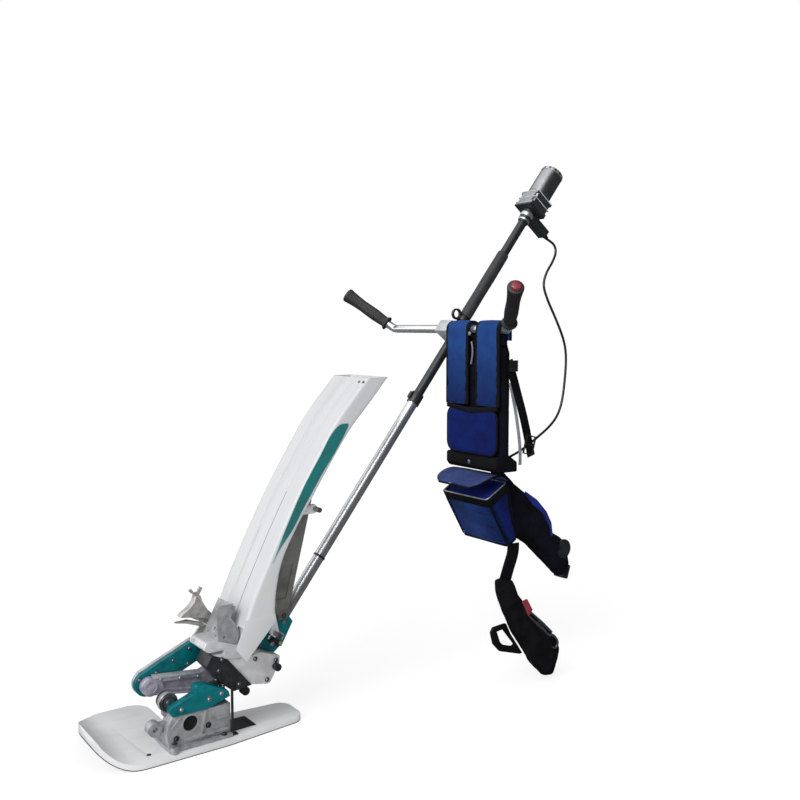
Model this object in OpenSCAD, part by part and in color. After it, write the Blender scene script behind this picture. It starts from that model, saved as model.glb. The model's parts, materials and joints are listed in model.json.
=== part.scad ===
// Hand guided single-row rice transplanter with its battery carried in a harness.
// Frame: X from the float's nose towards the operator, Y to the far side, Z up.
// Pieces are drawn from the ground under the nose and then set down on the hold point,
// the middle of the handlebar, which is the origin.

/* [Float] */
// Length of the float from nose to tail
float_len = 494; // [420:2:560]
// Width of the float over its straight middle
float_w = 140; // [110:2:180]
// Width of the float where its tail corner starts
float_tail_w = 106; // [90:2:130]
// Thickness of the moulded board
float_t = 12; // [8:1:18]
// Thickness of the skid sheet under the board
skid_t = 2; // [1:0.5:4]
// Length of the upturned nose
nose_len = 82; // [60:2:110]
// Far side of the nose's wing, from the middle of the board
wing_y = 250; // [160:5:300]
// Rear edge of the wing, from the tip's middle
wing_x = 195; // [150:5:240]
// Height that the nose rises
nose_rise = 44; // [20:2:60]

/* [Gear housing] */
// Length of the housing's foot flange
base_len = 150; // [140:2:170]
// Thickness of the foot flange
base_t = 8; // [5:1:12]
// Height of the housing's flat top above the flange
housing_h = 68; // [55:1:80]
// Radius of the dark bearing seal on the near side
seal_r = 18; // [12:1:22]
// Outer radius of the crank's bearing eye
eye_r = 22; // [18:1:26]
// Radius of the crank shaft
shaft_r = 9; // [6:0.5:12]

/* [Planting arm] */
// Radius of the crank disc
crank_r = 20; // [15:1:24]
// Radius of the pivot pins of link and arm
pivot_r = 8; // [5:0.5:10]
// Width of the swinging link, along its pins
link_w = 20; // [14:1:22]
// Radius of the rounded lower end of the arm
arm_end_r = 28; // [22:1:32]
// Width of the arm's grey casting
arm_case_w = 10; // [8:1:16]
// Width of the arm's teal cover
arm_cover_w = 14; // [8:1:16]
// Sheet thickness of the claw's pieces
claw_t = 3; // [2:0.5:4]
// Width of the claw
claw_w = 22; // [16:1:24]

/* [Seedling tray] */
// Outer width of the tray
tray_w = 160; // [130:2:180]
// Wall thickness of the tray
tray_wall = 3; // [2:0.5:5]
// Radius of the two guide rods that the tray slides on
rod_r = 6; // [4:0.5:8]
// Length of each guide rod
rod_len = 176; // [168:2:190]
// Distance of the tray's lugs from its middle
lug_y = 60; // [56:1:64]
// Thickness of the support strut behind the tray
strut_t = 8; // [5:1:12]

/* [Mast and handlebar] */
// Radius of the lower mast tube
lower_r = 14; // [12:0.5:16]
// Radius of the upper mast tube
upper_r = 12.5; // [10:0.5:14]
// Wall of both mast tubes
tube_wall = 2; // [1:0.25:3]
// Radius of the foam sleeve
foam_r = 16.5; // [14.5:0.5:20]
// Radius of the handlebar tube
bar_r = 11; // [9:0.5:13]
// Distance from the mast's axis to the handlebar's axis
bar_offset = 29; // [27:1:34]
// Half width of the handlebar's straight middle, up to the bend's corner
bar_half = 240; // [200:2:260]
// Angle that each end of the handlebar turns up
bar_rise = 48; // [30:1:60]
// Forward tilt of the plane that the handlebar lies in
bar_tilt = 41; // [30:1:50]
// Length of each grip
grip_len = 150; // [110:2:170]
// Radius of each grip
grip_r = 17; // [15:0.5:20]

/* [Motor] */
// Radius of the motor
motor_r = 33; // [28:1:40]
// Length of the motor
motor_len = 100; // [80:2:130]
// Side of the square reduction gearbox
gearbox_side = 66; // [56:2:80]
// Length of the reduction gearbox along the mast
gearbox_len = 45; // [35:1:60]

/* [Harness] */
// Width of the harness, across the machine
harness_w = 202; // [180:2:220]
// Width of each shoulder strap
strap_w = 84; // [60:2:90]
// Thickness of a padded strap
strap_t = 12; // [8:1:16]
// Thickness of the harness back panel
panel_t = 36; // [20:1:45]
// Width of the battery bag
bag_w = 180; // [150:2:190]
// Height of the battery bag along its sides
bag_h = 150; // [130:2:180]
// Depth of the battery bag
bag_d = 82; // [60:2:90]
// Depth of the battery bag at its bottom
bag_foot = 38; // [30:1:60]
// Wall of the battery bag
bag_wall = 5; // [3:0.5:8]
// Lean of the battery bag from upright
bag_tilt = 30; // [20:1:40]

/* [Hidden] */
$fn = 48;

// Hold point, the middle of the handlebar, from the ground under the float's nose
hold_x = 960;
hold_z = 939;
// Running clearance of a shaft in its bore
run_gap = 0.05;
// Clearance between a soft piece and what carries it
soft_gap = 0.3;

// Plan of the float's nose and wing, and the round of its tail
wing_mid = 30;
wing_r = 45;
wing_fillet = 25;
tail_r = 32;

// Foot: levels and layers
float_top = skid_t + float_t;
base_x = 140;
base_top = float_top + base_t;
housing_top = base_top + housing_h;
near_y = -48;
far_wall_y = -8;
// Foot of the drive case on the housing
case_x = 290;
crank_x = 154;
crank_z = housing_top + 24;
crank_y = far_wall_y + 5;
crank_t = 7;
link_y = crank_y + crank_t + 9;
arm_y = link_y + link_w + 5;
arm_far_y = arm_y + arm_cover_w + arm_case_w;
link_x = 284;
link_z = 146;
knee_x = 128;
knee_z = 143;
claw_y = arm_far_y - 9;

// Mast frame: distances along the mast from the point nearest the handlebar
mast_foot_x = 436;
mast_foot_z = 226;
foot_reach = norm([hold_x - mast_foot_x, hold_z - mast_foot_z]);
mast_angle = atan2(hold_z - mast_foot_z, hold_x - mast_foot_x) - asin(bar_offset / foot_reach);
mast_x = hold_x + bar_offset * sin(mast_angle);
mast_z = hold_z - bar_offset * cos(mast_angle);
mast_low = -sqrt(pow(foot_reach, 2) - pow(bar_offset, 2));
mast_joint = -210;
gearbox_at = 448;
motor_at = gearbox_at + gearbox_len;
motor_end = motor_at + motor_len;

// Harness frame, drawn for a hold point at this place over the ground
hang_x = 960;
hang_z = 939;
harness_far = -26;
harness_near = harness_far - harness_w;
strap_front = hang_x - bar_r - soft_gap - strap_t;
panel_front = strap_front + strap_t + soft_gap;
panel_back = panel_front + panel_t;
panel_top = 905;
band_back = panel_back + 24;
strap_foot = 745;
pad_top = 738;
pad_foot = 620;
band_foot = 578;
bag_x = 928;
bag_z = 508;
bag_far = -22;
bag_near = bag_far - bag_w;

// Arc of points round (cx, cy)
function arc(cx, cy, rx, ry, a0, a1, n) =
    [for (i = [0:n]) [cx + rx * cos(a0 + (a1 - a0) * i / n), cy + ry * sin(a0 + (a1 - a0) * i / n)]];

// Set a piece that is drawn from the ground down on the hold point
module placed() { translate([-hold_x, 0, -hold_z]) children(); }

// The same for what hangs on the handlebar
module hung() { translate([-hang_x, 0, -hang_z]) children(); }

// Outline of (x, z) points, from y0 to y1
module slab_y(points, y0, y1) {
    translate([0, y1, 0]) rotate([90, 0, 0]) linear_extrude(y1 - y0) polygon(points);
}

// Outline of (y, z) points, from x0 to x1
module slab_x(points, x0, x1) {
    translate([x0, 0, 0]) rotate([90, 0, 90]) linear_extrude(x1 - x0) polygon(points);
}

// Round bar along Y
module bar_y(x, z, r, y0, y1) {
    translate([x, y1, z]) rotate([90, 0, 0]) cylinder(r = r, h = y1 - y0);
}

// Box by its two corners
module block(low, high) { translate(low) cube(high - low); }

// Frame of the mast: +Z runs up the mast, +Y to the far side, -X to the handlebar
module on_mast(along) {
    placed() translate([mast_x, 0, mast_z]) rotate([0, 90 - mast_angle, 0])
        translate([0, 0, along]) children();
}

// Frame of the battery bag: Z up its slanted side, X through its depth
module on_bag() {
    placed() translate([bag_x, 0, bag_z]) rotate([0, -bag_tilt, 0]) children();
}

// Plan of the float: a round nose whose far wing levels the mud ahead of the claw, then a narrow
// board that tapers to its tail
module float_plan() {
    nose_r = nose_len + 18;
    x0 = nose_r - 10;
    x1 = float_len - 10;
    half = float_w / 2;
    tail = float_tail_w / 2 - tail_r;
    polygon(concat(
        arc(x0, wing_mid, nose_r, wing_y - wing_mid, 180, 90, 12),
        arc(wing_x - wing_r, wing_y - wing_r, wing_r, wing_r, 90, 0, 6),
        arc(wing_x + wing_fillet, half + wing_fillet, wing_fillet, wing_fillet, 180, 270, 5),
        [[x0 + 192, half]],
        arc(x1 - tail_r, tail, tail_r, tail_r, 90, 0, 6),
        arc(x1 - tail_r, -tail, tail_r, tail_r, 0, -90, 6),
        [[x0 + 192, -half]],
        arc(x0, wing_mid, nose_r, half + wing_mid, 270, 190, 10)));
}

// Side of one layer of the float, from level low to level high, with the nose bent up
module float_layer(low, high) {
    bend_r = (nose_len * nose_len + nose_rise * nose_rise) / (2 * nose_rise);
    swing = asin(nose_len / bend_r) + 6;
    x0 = nose_len - 10;
    intersection() {
        slab_y(concat(arc(x0, bend_r, bend_r - low, bend_r - low, -90 - swing, -90, 14),
            [[float_len, low], [float_len, high]],
            arc(x0, bend_r, bend_r - high, bend_r - high, -90, -90 - swing, 14)),
            -float_w, wing_y + 1);
        translate([0, 0, -10]) linear_extrude(140) float_plan();
    }
}

module float_board() color("#e9e9ec") placed() difference() {
    float_layer(skid_t, float_top);
    translate([102, -34, -5]) cylinder(r = 3, h = 60);
}

module float_skid() color("#2b2b2e") placed() float_layer(0, skid_t);

module tail_plate() color("#4b4b50") placed()
    slab_y([[base_x + base_len + 2, float_top], [base_x + base_len + 74, float_top],
        [base_x + base_len + 68, float_top + 4], [base_x + base_len + 2, float_top + 4]], -34, 22);

module gear_housing() color("#77787c") placed() difference() {
    union() {
        block([base_x, -60, float_top], [base_x + base_len, 38, base_top]);
        slab_y([[base_x + 3, base_top], [base_x - 3, base_top + 36], [base_x + 12, housing_top],
            [base_x + base_len, housing_top], [base_x + base_len, base_top]], near_y, far_wall_y);
        block([base_x + 76, far_wall_y, base_top], [base_x + base_len, far_wall_y + 16, housing_top]);
        // Front eye and its web
        bar_y(base_x - 23, base_top + 44, 16, -36, -12);
        block([base_x - 23, -30, base_top + 32], [base_x + 4, -18, base_top + 54]);
        // Bearing eye of the crank, on an upright
        bar_y(crank_x, crank_z, eye_r, far_wall_y - 12, far_wall_y);
        block([crank_x - 13, far_wall_y - 12, housing_top - 4], [crank_x + 13, far_wall_y, crank_z]);
        // Rib along the near side
        block([base_x + 38, near_y - 5, base_top + 8], [base_x + base_len - 4, near_y, base_top + 14]);
        // Bolt lug at the near front corner
        translate([base_x + 10, -62, float_top]) cylinder(r = 9, h = base_t + 6);
    }
    bar_y(crank_x, crank_z, shaft_r + run_gap, near_y, 0);
    bar_y(base_x + 53, base_top + 45, seal_r, near_y - 1, near_y + 6);
    bar_y(base_x - 23, base_top + 44, 6, -40, -8);
    translate([base_x + 10, -62, float_top - 1]) cylinder(r = 3, h = 40);
}

module bearing_seal() color("#141416") placed()
    bar_y(base_x + 53, base_top + 45, seal_r - soft_gap, near_y + 3, near_y + 6);

// Bonnet: a low round nose beside the crank and a raised back under the drive case
module housing_cover() color("#138f88") placed() union() {
    slab_y(concat([[base_x + 14, housing_top], [base_x + 80, housing_top],
        [base_x + 80, housing_top + 36], [base_x + 62, housing_top + 41]],
        arc(base_x + 15, housing_top + 13, 10, 10, 110, 215, 5)), near_y - 2, far_wall_y - 21);
    slab_y(concat([[base_x + 60, housing_top], [base_x + 96, housing_top], [case_x, housing_top + 17]],
        arc(case_x - 16, housing_top + 22, 14, 14, 0, 62, 4),
        arc(base_x + 88, housing_top + 51, 7, 7, 62, 100, 3),
        arc(base_x + 73, housing_top + 51, 7, 7, 100, 190, 4)), near_y - 2, far_wall_y - 14);
}

module depth_link() color("#1e1e21") placed() union() {
    block([base_x + base_len + soft_gap, -56, float_top], [base_x + base_len + 5, -50 - soft_gap, 134]);
    block([base_x + base_len + soft_gap, -56, float_top], [base_x + base_len + 16, -40, float_top + 3]);
}

module crank() color("#5d5d62") placed() union() {
    bar_y(crank_x, crank_z, shaft_r, far_wall_y - 16, crank_y);
    bar_y(crank_x, crank_z, shaft_r + 4, far_wall_y - 16, far_wall_y - 13);
    bar_y(crank_x, crank_z, crank_r, crank_y, crank_y + crank_t);
    bar_y(crank_x - 7, crank_z + 7, 6, crank_y + crank_t, crank_y + crank_t + 4);
}

// Grey cast link between the drive case and the arm
module swing_link() color("#8f8f99") placed() difference() {
    union() {
        slab_y([[knee_x - 4, knee_z + 20], [link_x - 38, link_z + 8], [link_x - 20, link_z + 16],
            [link_x, link_z + 18], [link_x + 18, link_z], [link_x, link_z - 18],
            [link_x - 18, link_z - 40], [link_x - 30, link_z - 38], [link_x - 44, link_z - 34],
            [link_x - 60, link_z - 34], [knee_x + 6, knee_z - 19]], link_y, link_y + link_w);
        bar_y(knee_x, knee_z, 20, link_y, link_y + link_w);
        bar_y(link_x, link_z, 18, link_y, link_y + link_w);
    }
    bar_y(link_x, link_z, pivot_r + run_gap, link_y - 1, link_y + link_w + 1);
    // Pocket that leaves the casting's rim
    slab_y([[knee_x + 26, knee_z + 8], [link_x - 44, link_z - 2], [link_x - 34, link_z - 26],
        [link_x - 58, link_z - 26], [knee_x + 30, knee_z - 10]], link_y - 1, link_y + 5);
}

module link_pin() color("#b9bbc0") placed() union() {
    bar_y(link_x, link_z, pivot_r, link_y - 5, link_y + link_w + 3);
    bar_y(link_x, link_z, pivot_r + 4, link_y + link_w + 1, link_y + link_w + 4);
}

module arm_pin() color("#b9bbc0") placed() union() {
    bar_y(knee_x, knee_z, pivot_r, link_y + link_w, arm_far_y + 4);
    bar_y(knee_x, knee_z, pivot_r + 4, arm_far_y + 1, arm_far_y + 4);
}

// Side of the arm, grown outward by rim
function arm_side(rim) = concat(
    arc(knee_x, knee_z, arm_end_r, arm_end_r, 126, 330, 20),
    [[276 + rim, 184 - rim], [240 + rim, 222 + rim],
        [knee_x - 14 - rim / 2, knee_z + arm_end_r - 4 + rim]]);

module arm_case() color("#a3a5ab") placed() difference() {
    slab_y(arm_side(2), arm_y + arm_cover_w, arm_far_y);
    bar_y(knee_x, knee_z, pivot_r + run_gap, arm_y, arm_far_y + 1);
}

module arm_cover() color("#0d8f8c") placed() difference() {
    slab_y(arm_side(0), arm_y, arm_y + arm_cover_w);
    bar_y(knee_x, knee_z, pivot_r + run_gap, arm_y - 1, arm_far_y);
}

// Stand that carries the claw on the end of the arm
module claw_bracket() color("#8c8a86") placed()
    slab_y([[242.2, 224.2], [278.2, 182.2], [292, 232], [281, 246], [264, 248]],
        arm_far_y - 11, arm_far_y - 5);

// Flared hood of folded sheet, open below
module claw_hood() color("#8c8780") placed() union() {
    difference() {
        slab_y([[251, 322], [263, 322], [267, 306], [276, 290], [291, 275], [281, 262], [262, 271],
            [240, 274], [212, 279], [219, 286], [236, 297], [247, 309]],
            claw_y - claw_w / 2, claw_y + claw_w / 2);
        slab_y([[253, 314], [261, 314], [264, 303], [272, 288], [284, 274], [278, 256], [262, 266],
            [240, 269], [205, 272], [226, 285], [240, 295], [250, 306]],
            claw_y - claw_w / 2 + claw_t, claw_y + claw_w / 2 - claw_t);
    }
    slab_y([[252, 318], [263, 318], [288, 274], [281.5, 246.8], [270.3, 255.5], [244, 270]],
        claw_y - claw_t, claw_y + claw_t);
}

module claw_fork() color("#7d7770") placed()
    slab_y([[251, 322.2], [262, 322.2], [271, 338], [264, 343], [257, 330], [250, 330],
        [243, 340], [236, 336]], claw_y - 3, claw_y + 3);

module claw_blade() color("#8c8780") placed()
    slab_y([[201, 267], [226, 262], [264, 248.2], [281, 246.2], [270, 255], [232, 268]],
        claw_y - 7, claw_y + 7);

// Seat line between the cases and the tray's foot
seat = [[246, 210], [285, 193], [343, 187]];

module drive_case() color("#54565a") placed() union() {
    slab_y([seat[0], [232, 186], [279, 131], [299, 115], [345, 119.5], seat[1]],
        -50, far_wall_y + 16);
    block([case_x - 32, far_wall_y - 13, housing_top], [case_x, far_wall_y + 16, 128]);
}

module rubber_stop() color("#151517") placed() bar_y(330, 107.6, 10, -50, -30);

module feed_case() color("#c9cbce") placed() difference() {
    slab_y([seat[1], [345, 119.5], [397, 109], [418, 145], [421, 172], [369, 192], seat[2]],
        -46, 26);
    slab_y([[388, 110], [396, 105], [422, 150], [415, 152]], -48, -40);
}

module feed_knob() color("#17171a") placed() bar_y(408, 150, 9, -62, -46);

module tray_foot() color("#d6d7da") placed() difference() {
    slab_y([seat[0], seat[1], seat[2], [338, 205], [312, 222], [262, 240], [233, 240], [226, 226]],
        -50, 30);
    block([220, 8, 226], [244, 24, 234]);
    block([236, -51, 208], [276, -30, 216]);
}

module tray_gate() color("#9c9da0") placed() difference() {
    union() {
        slab_y([[262, 240.2], [267, 240.2], [306, 312], [301, 315]], -50, 30);
        slab_y(concat([[262, 240.2], [260, 300]], arc(270, 309, 10, 10, 180, 90, 4),
            [[300, 320], [294, 288], [313, 260], [312, 222.2]]), -50, -47);
    }
    bar_y(277, 246, 3.5, -60, -40);
    translate([275, -12, 258]) rotate([0, 62, 0]) cylinder(r = 4, h = 30, center = true);
}

module rear_bracket() color("#0f8f8b") difference() {
    placed() difference() {
        slab_y([[398, 260], [425, 264], [456, 262], [472, 238], [446, 192], [421, 172.2],
            [384, 188]], -17, 22);
        bar_y(398, 236, rod_r + run_gap, -30, 30);
    }
    on_mast(mast_low) cylinder(r = lower_r + run_gap, h = 200);
}

module clamp_lever() color("#2a2a2d") placed() union() {
    bar_y(410, 206, 5, -40, -17);
    slab_y([[396, 210], [412, 216], [432, 200], [428, 192], [404, 196]], -40, -33);
}

// Plate behind the tray that carries the upper guide rod
module support_strut() color("#9a9a9c") placed() difference() {
    slab_y([[492, 524], [523, 530], [469, 317], [452, 250], [410, 250], [405, 300], [428, 400]],
        -17 - strut_t, -17);
    bar_y(508, 516, rod_r, -30, 0);
    slab_y([[420, 300], [450, 300], [470, 380], [440, 380]], -30, 0);
}

module upper_guide_rod() color("#c4c6ca") placed()
    bar_y(508, 516, rod_r, -rod_len / 2, rod_len / 2);

module lower_guide_rod() color("#c4c6ca") placed()
    bar_y(398, 236, rod_r, -rod_len / 2, rod_len / 2);

// Front curve of the tray and its back curve, from top to bottom, as (x, z)
tray_front = [[650, 822], [604, 772], [560, 720], [507, 640], [456, 558], [410, 475],
    [372, 400], [338, 330], [312, 266]];
tray_back = [[713, 822], [655, 757], [600, 697], [545, 620], [494, 543], [450, 475],
    [415, 409], [398, 340], [393, 270]];

function reversed(list) = [for (i = [len(list) - 1:-1:0]) list[i]];
function moved(list, dx) = [for (p = list) [p.x + dx, p.y]];

// Curved chute with a boot on its near side and lugs for the two guide rods
module seedling_tray() color("#ececf0") placed() difference() {
    union() {
        slab_y(concat(tray_front, reversed(tray_back)), -tray_w / 2, tray_w / 2);
        slab_y([[312, 266], [292, 222], [317, 189], [356, 232], [393, 270]],
            -tray_w / 2, -tray_w / 2 + tray_wall);
        for (y = [-lug_y, lug_y]) {
            slab_y([[476, 520], [508, 527], [519, 516], [508, 505], [467, 505]], y - 6, y + 6);
            slab_y([[391, 274], [396, 300], [409, 236], [398, 225], [387, 236]], y - 6, y + 6);
        }
    }
    slab_y(concat([[654, 824]], moved(tray_front, tray_wall * 1.3), [[316, 262]],
        [[386, 262]], reversed(moved(tray_back, -tray_wall * 1.3)), [[709, 824]]),
        -tray_w / 2 + tray_wall, tray_w / 2 - tray_wall);
    for (y = [-lug_y, lug_y]) {
        bar_y(508, 516, rod_r + run_gap, y - 7, y + 7);
        bar_y(398, 236, rod_r + run_gap, y - 7, y + 7);
    }
}

// Crescent band on the near wall
module tray_stripe() color("#16918c") placed()
    slab_y([[592, 722], [550, 688], [510, 628], [463, 548], [422, 466], [399, 396],
        [428, 452], [466, 520], [496, 572], [530, 640], [562, 686]],
        -tray_w / 2 - 0.8, -tray_w / 2);

module lower_mast() color("#b4b6ba") on_mast(mast_low) difference() {
    cylinder(r = lower_r, h = mast_joint - mast_low);
    translate([0, 0, -1]) cylinder(r = lower_r - tube_wall, h = mast_joint - mast_low + 2);
}

module upper_mast() color("#26272a") on_mast(mast_joint) difference() {
    cylinder(r = upper_r, h = gearbox_at - 12 - mast_joint);
    translate([0, 0, -1]) cylinder(r = upper_r - tube_wall, h = gearbox_at - 10 - mast_joint);
}

module mast_collar() color("#3a3a3e") on_mast(mast_joint - 14) difference() {
    union() {
        cylinder(r = lower_r + 3, h = 30);
        translate([-lower_r - 9, -5, 6]) cube([12, 10, 18]);
    }
    translate([0, 0, -1]) cylinder(r = lower_r + run_gap, h = 15);
    translate([0, 0, 13.9]) cylinder(r = upper_r + run_gap, h = 20);
}

module foam_sleeve() color("#2c2d30") on_mast(62) difference() {
    cylinder(r = foam_r, h = 226);
    translate([0, 0, -1]) cylinder(r = upper_r + run_gap, h = 230);
}

module hanger_ring() color("#1b1b1d") on_mast(46) difference() {
    union() {
        cylinder(r = upper_r + 4, h = 12);
        translate([-upper_r - 16, 0, 6]) rotate([90, 0, 0])
            cylinder(r = 15, h = 8, center = true);
    }
    translate([0, 0, -1]) cylinder(r = upper_r + run_gap, h = 20);
    translate([-upper_r - 17, 0, 6]) rotate([90, 0, 0]) cylinder(r = 10, h = 20, center = true);
}

module handlebar_clamp() color("#aeb0b5") on_mast(0) difference() {
    translate([-bar_offset - bar_r - 6, -24, -18]) cube([bar_offset + bar_r + upper_r + 12, 48, 36]);
    translate([0, 0, -20]) cylinder(r = upper_r + run_gap, h = 40);
    translate([-bar_offset, 25, 0]) rotate([90, 0, 0]) cylinder(r = bar_r + run_gap, h = 50);
}

// Frame of one end of the handlebar: X outward along the bar, Z up in its plane
module on_bar(side) {
    rotate([0, -bar_tilt, 0]) rotate([0, 0, side * 90]) children();
}

// Frame of one grip: Z runs outward along the grip from the bend's corner
module on_grip(side) {
    on_bar(side) translate([bar_half, 0, 0]) rotate([0, 90 - bar_rise, 0]) children();
}

bend_r = 26;
bend_run = bend_r * tan(bar_rise / 2);
grip_start = 26;
bar_end = grip_start + grip_len - 12;

// Straight middle, two bends and two ends, joined by cores where they meet
module handlebar() color("#c9cbd0") {
    straight = bar_half - bend_run;
    core_r = bar_r - soft_gap;
    on_bar(1) translate([-straight, 0, 0]) rotate([0, 90, 0]) cylinder(r = bar_r, h = 2 * straight);
    for (side = [-1, 1]) {
        on_bar(side) translate([straight - 3, 0, 0]) rotate([0, 90, 0]) cylinder(r = core_r, h = 6);
        on_bar(side) translate([straight + soft_gap, 0, bend_r]) rotate([90, 0, 0])
            rotate([0, 0, -90]) rotate_extrude(angle = bar_rise)
                translate([bend_r, 0]) circle(r = bar_r);
        on_grip(side) translate([0, 0, bend_run - 3]) cylinder(r = core_r, h = 6);
        on_grip(side) translate([0, 0, bend_run + 2 * soft_gap])
            cylinder(r = bar_r, h = bar_end - bend_run - 2 * soft_gap);
    }
}

// Grip by its steps along the bar: distance, radius
module grip_body() {
    difference() {
        rotate_extrude() polygon([[0, 0], [grip_r + 3, 0], [grip_r + 3, 5], [grip_r - 2, 9],
            [grip_r, 46], [grip_r - 1, 92], [grip_r + 3, grip_len - 8], [grip_r + 3, grip_len],
            [0, grip_len]]);
        translate([0, 0, -1]) cylinder(r = bar_r + run_gap, h = grip_len - 11 + run_gap);
    }
}

module grip_left() color("#2a2a2c") on_grip(1) translate([0, 0, grip_start]) grip_body();

module grip_right() color("#232325") on_grip(-1) translate([0, 0, grip_start]) union() {
    grip_body();
    translate([0, grip_r - 4, 34]) rotate([-90, 0, 0]) cylinder(r = 11, h = 12);
}

module grip_button() color("#a8343c") on_grip(-1) translate([0, 0, grip_start + grip_len])
    cylinder(r = 12, h = 8);

module motor_bracket() color("#232427") on_mast(gearbox_at - 12) difference() {
    union() {
        translate([-gearbox_side / 2, -gearbox_side / 2, 6]) cube([gearbox_side, gearbox_side, 6]);
        translate([0, 0, -26]) cylinder(r = upper_r + 5, h = 32);
        translate([upper_r + 2, -15, -16]) cube([gland_at - upper_r - 2, 30, 22]);
    }
    translate([0, 0, -50]) cylinder(r = upper_r + run_gap, h = 50);
}

module reduction_gearbox() color("#3a3b3f") on_mast(gearbox_at) difference() {
    translate([-gearbox_side / 2, -gearbox_side / 2, 0]) cube([gearbox_side, gearbox_side, gearbox_len]);
    for (x = [-1, 1], y = [-1, 1]) translate([x * gearbox_side / 2, y * gearbox_side / 2, 8])
        cylinder(r = 7, h = gearbox_len - 16);
}

module motor() color("#1f2023") on_mast(motor_at) cylinder(r = motor_r, h = motor_len - 14);

module motor_cap() color("#8d9094") on_mast(motor_end - 14) union() {
    cylinder(r = motor_r, h = 10);
    translate([0, 0, 10]) cylinder(r = motor_r - 6, h = 4);
}

// Reach of the bracket's arm below the mast, and the gland on its end
gland_at = 84;
gland_len = 18;

// Route of the lead from the motor to the battery bag
lead_r = 3.5;
lead_route = [[1330, 0, 1196], [1352, -4, 1182], [1354, -10, 1160], [1336, -16, 1132],
    [1306, -22, 1098], [1290, -28, 1062], [1300, -35, 1020], [1324, -42, 970], [1348, -49, 914],
    [1355, -55, 866], [1346, -62, 804], [1328, -69, 736], [1302, -76, 694], [1262, -83, 664],
    [1202, -90, 634], [1136, -97, 606], [1074, -102, 590], [1036, -104, 592], [1010, -106, 598]];

module cable_gland() color("#19191b") on_mast(gearbox_at - 17)
    translate([gland_at, 0, 0]) rotate([0, 90, 0]) cylinder(r1 = 9, r2 = 5, h = gland_len);

// Rounded route: points on a smooth curve through the list
function on_curve(p, i, t) =
    let(a = p[max(i - 1, 0)], b = p[i], c = p[i + 1], d = p[min(i + 2, len(p) - 1)])
    0.5 * (2 * b + (c - a) * t + (2 * a - 5 * b + 4 * c - d) * t * t
        + (3 * b - a - 3 * c + d) * t * t * t);
function smooth(p, steps) = concat(
    [for (i = [0:len(p) - 2], k = [0:steps - 1]) on_curve(p, i, k / steps)], [p[len(p) - 1]]);
function unit(v) = v / norm(v);
function ring(p, i, r, sides) =
    let(d = unit(p[min(i + 1, len(p) - 1)] - p[max(i - 1, 0)]),
        u = unit(cross(d, [0, 1, 0])), v = cross(d, u))
    [for (k = [0:sides - 1]) p[i] + r * (u * cos(k * 360 / sides) + v * sin(k * 360 / sides))];

// Tube swept along a route
module swept(route, r, sides) {
    rings = [for (i = [0:len(route) - 1]) ring(route, i, r, sides)];
    last = len(route) - 1;
    polyhedron(
        points = [for (one = rings, p = one) p],
        faces = concat(
            [[for (k = [0:sides - 1]) k]],
            [for (i = [0:last - 1], k = [0:sides - 1])
                [i * sides + k, (i + 1) * sides + k, (i + 1) * sides + (k + 1) % sides,
                    i * sides + (k + 1) % sides]],
            [[for (k = [sides - 1:-1:0]) last * sides + k]]));
}

// The route's first points follow the gland, its last ones the harness
gland_x = mast_x - hold_x + hang_x + (gearbox_at - 17) * cos(mast_angle)
    + (gland_at + gland_len) * sin(mast_angle);
gland_z = mast_z - hold_z + hang_z + (gearbox_at - 17) * sin(mast_angle)
    - (gland_at + gland_len) * cos(mast_angle);
gland_shift = [gland_x - 1329.5, 0, gland_z - 1196.7];
function led(route) = [for (i = [0:len(route) - 1])
    route[i] + gland_shift * pow(1 - i / (len(route) - 1), 2)];

module power_lead() color("#161618") hung() swept(smooth(led(lead_route), 3), lead_r, 8);

// Padded strap hung over the handlebar, from y0 to y1
module strap(y0, y1) {
    r0 = bar_r + soft_gap;
    r1 = r0 + strap_t;
    slab_y(concat([[hold_x - r1, strap_foot]], arc(hold_x, hold_z, r1, r1, 180, 0, 16),
        [[hold_x + r1, panel_top], [hold_x + r0, panel_top]],
        arc(hold_x, hold_z, r0, r0, 0, 180, 16), [[hold_x - r0, strap_foot]]), y0, y1);
}

module shoulder_strap_far() color("#2c4c9c") hung() strap(harness_far - strap_w, harness_far);

module shoulder_strap_near() color("#2f58a8") hung() strap(harness_near, harness_near + strap_w);

module harness_panel() color("#10121c") hung() union() {
    block([panel_front, harness_near, pad_foot], [panel_back, harness_far, panel_top]);
    // Yoke between the straps' legs, up to the bar
    block([panel_front, harness_near, panel_top - 1],
        [hold_x + bar_r, harness_far, hold_z - bar_r - 3]);
}

// Outline with round corners, as (y, z)
function round_box(y0, y1, z0, z1, r) = concat(
    arc(y1 - r, z1 - r, r, r, 0, 90, 8), arc(y0 + r, z1 - r, r, r, 90, 180, 8),
    arc(y0 + r, z0 + r, r, r, 180, 270, 8), arc(y1 - r, z0 + r, r, r, 270, 360, 8));

module lower_pad() color("#1b2a6c") hung()
    slab_x(round_box(harness_near + 3, harness_far - 3, pad_foot, pad_top, 26),
        strap_front - 4, panel_front - soft_gap);

module harness_band() color("#0c0d12") hung()
    slab_y([[strap_front + 2, band_foot + 8], [strap_front + 10, band_foot], [band_back, band_foot],
        [band_back, band_foot + 26], [panel_back, pad_foot - soft_gap],
        [strap_front + 2, pad_foot - soft_gap]], harness_near, harness_far);

// Bag with a narrow bottom, open at the top
module battery_bag() color("#22347c") on_bag() difference() {
    slab_y([[0, 0], [bag_d, 0], [bag_foot, -bag_h], [0, -bag_h]], bag_near, bag_far);
    slab_y([[bag_wall, 1], [bag_d - bag_wall, 1], [bag_foot - bag_wall, bag_wall - bag_h],
        [bag_wall, bag_wall - bag_h]], bag_near + bag_wall, bag_far - bag_wall);
}

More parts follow.
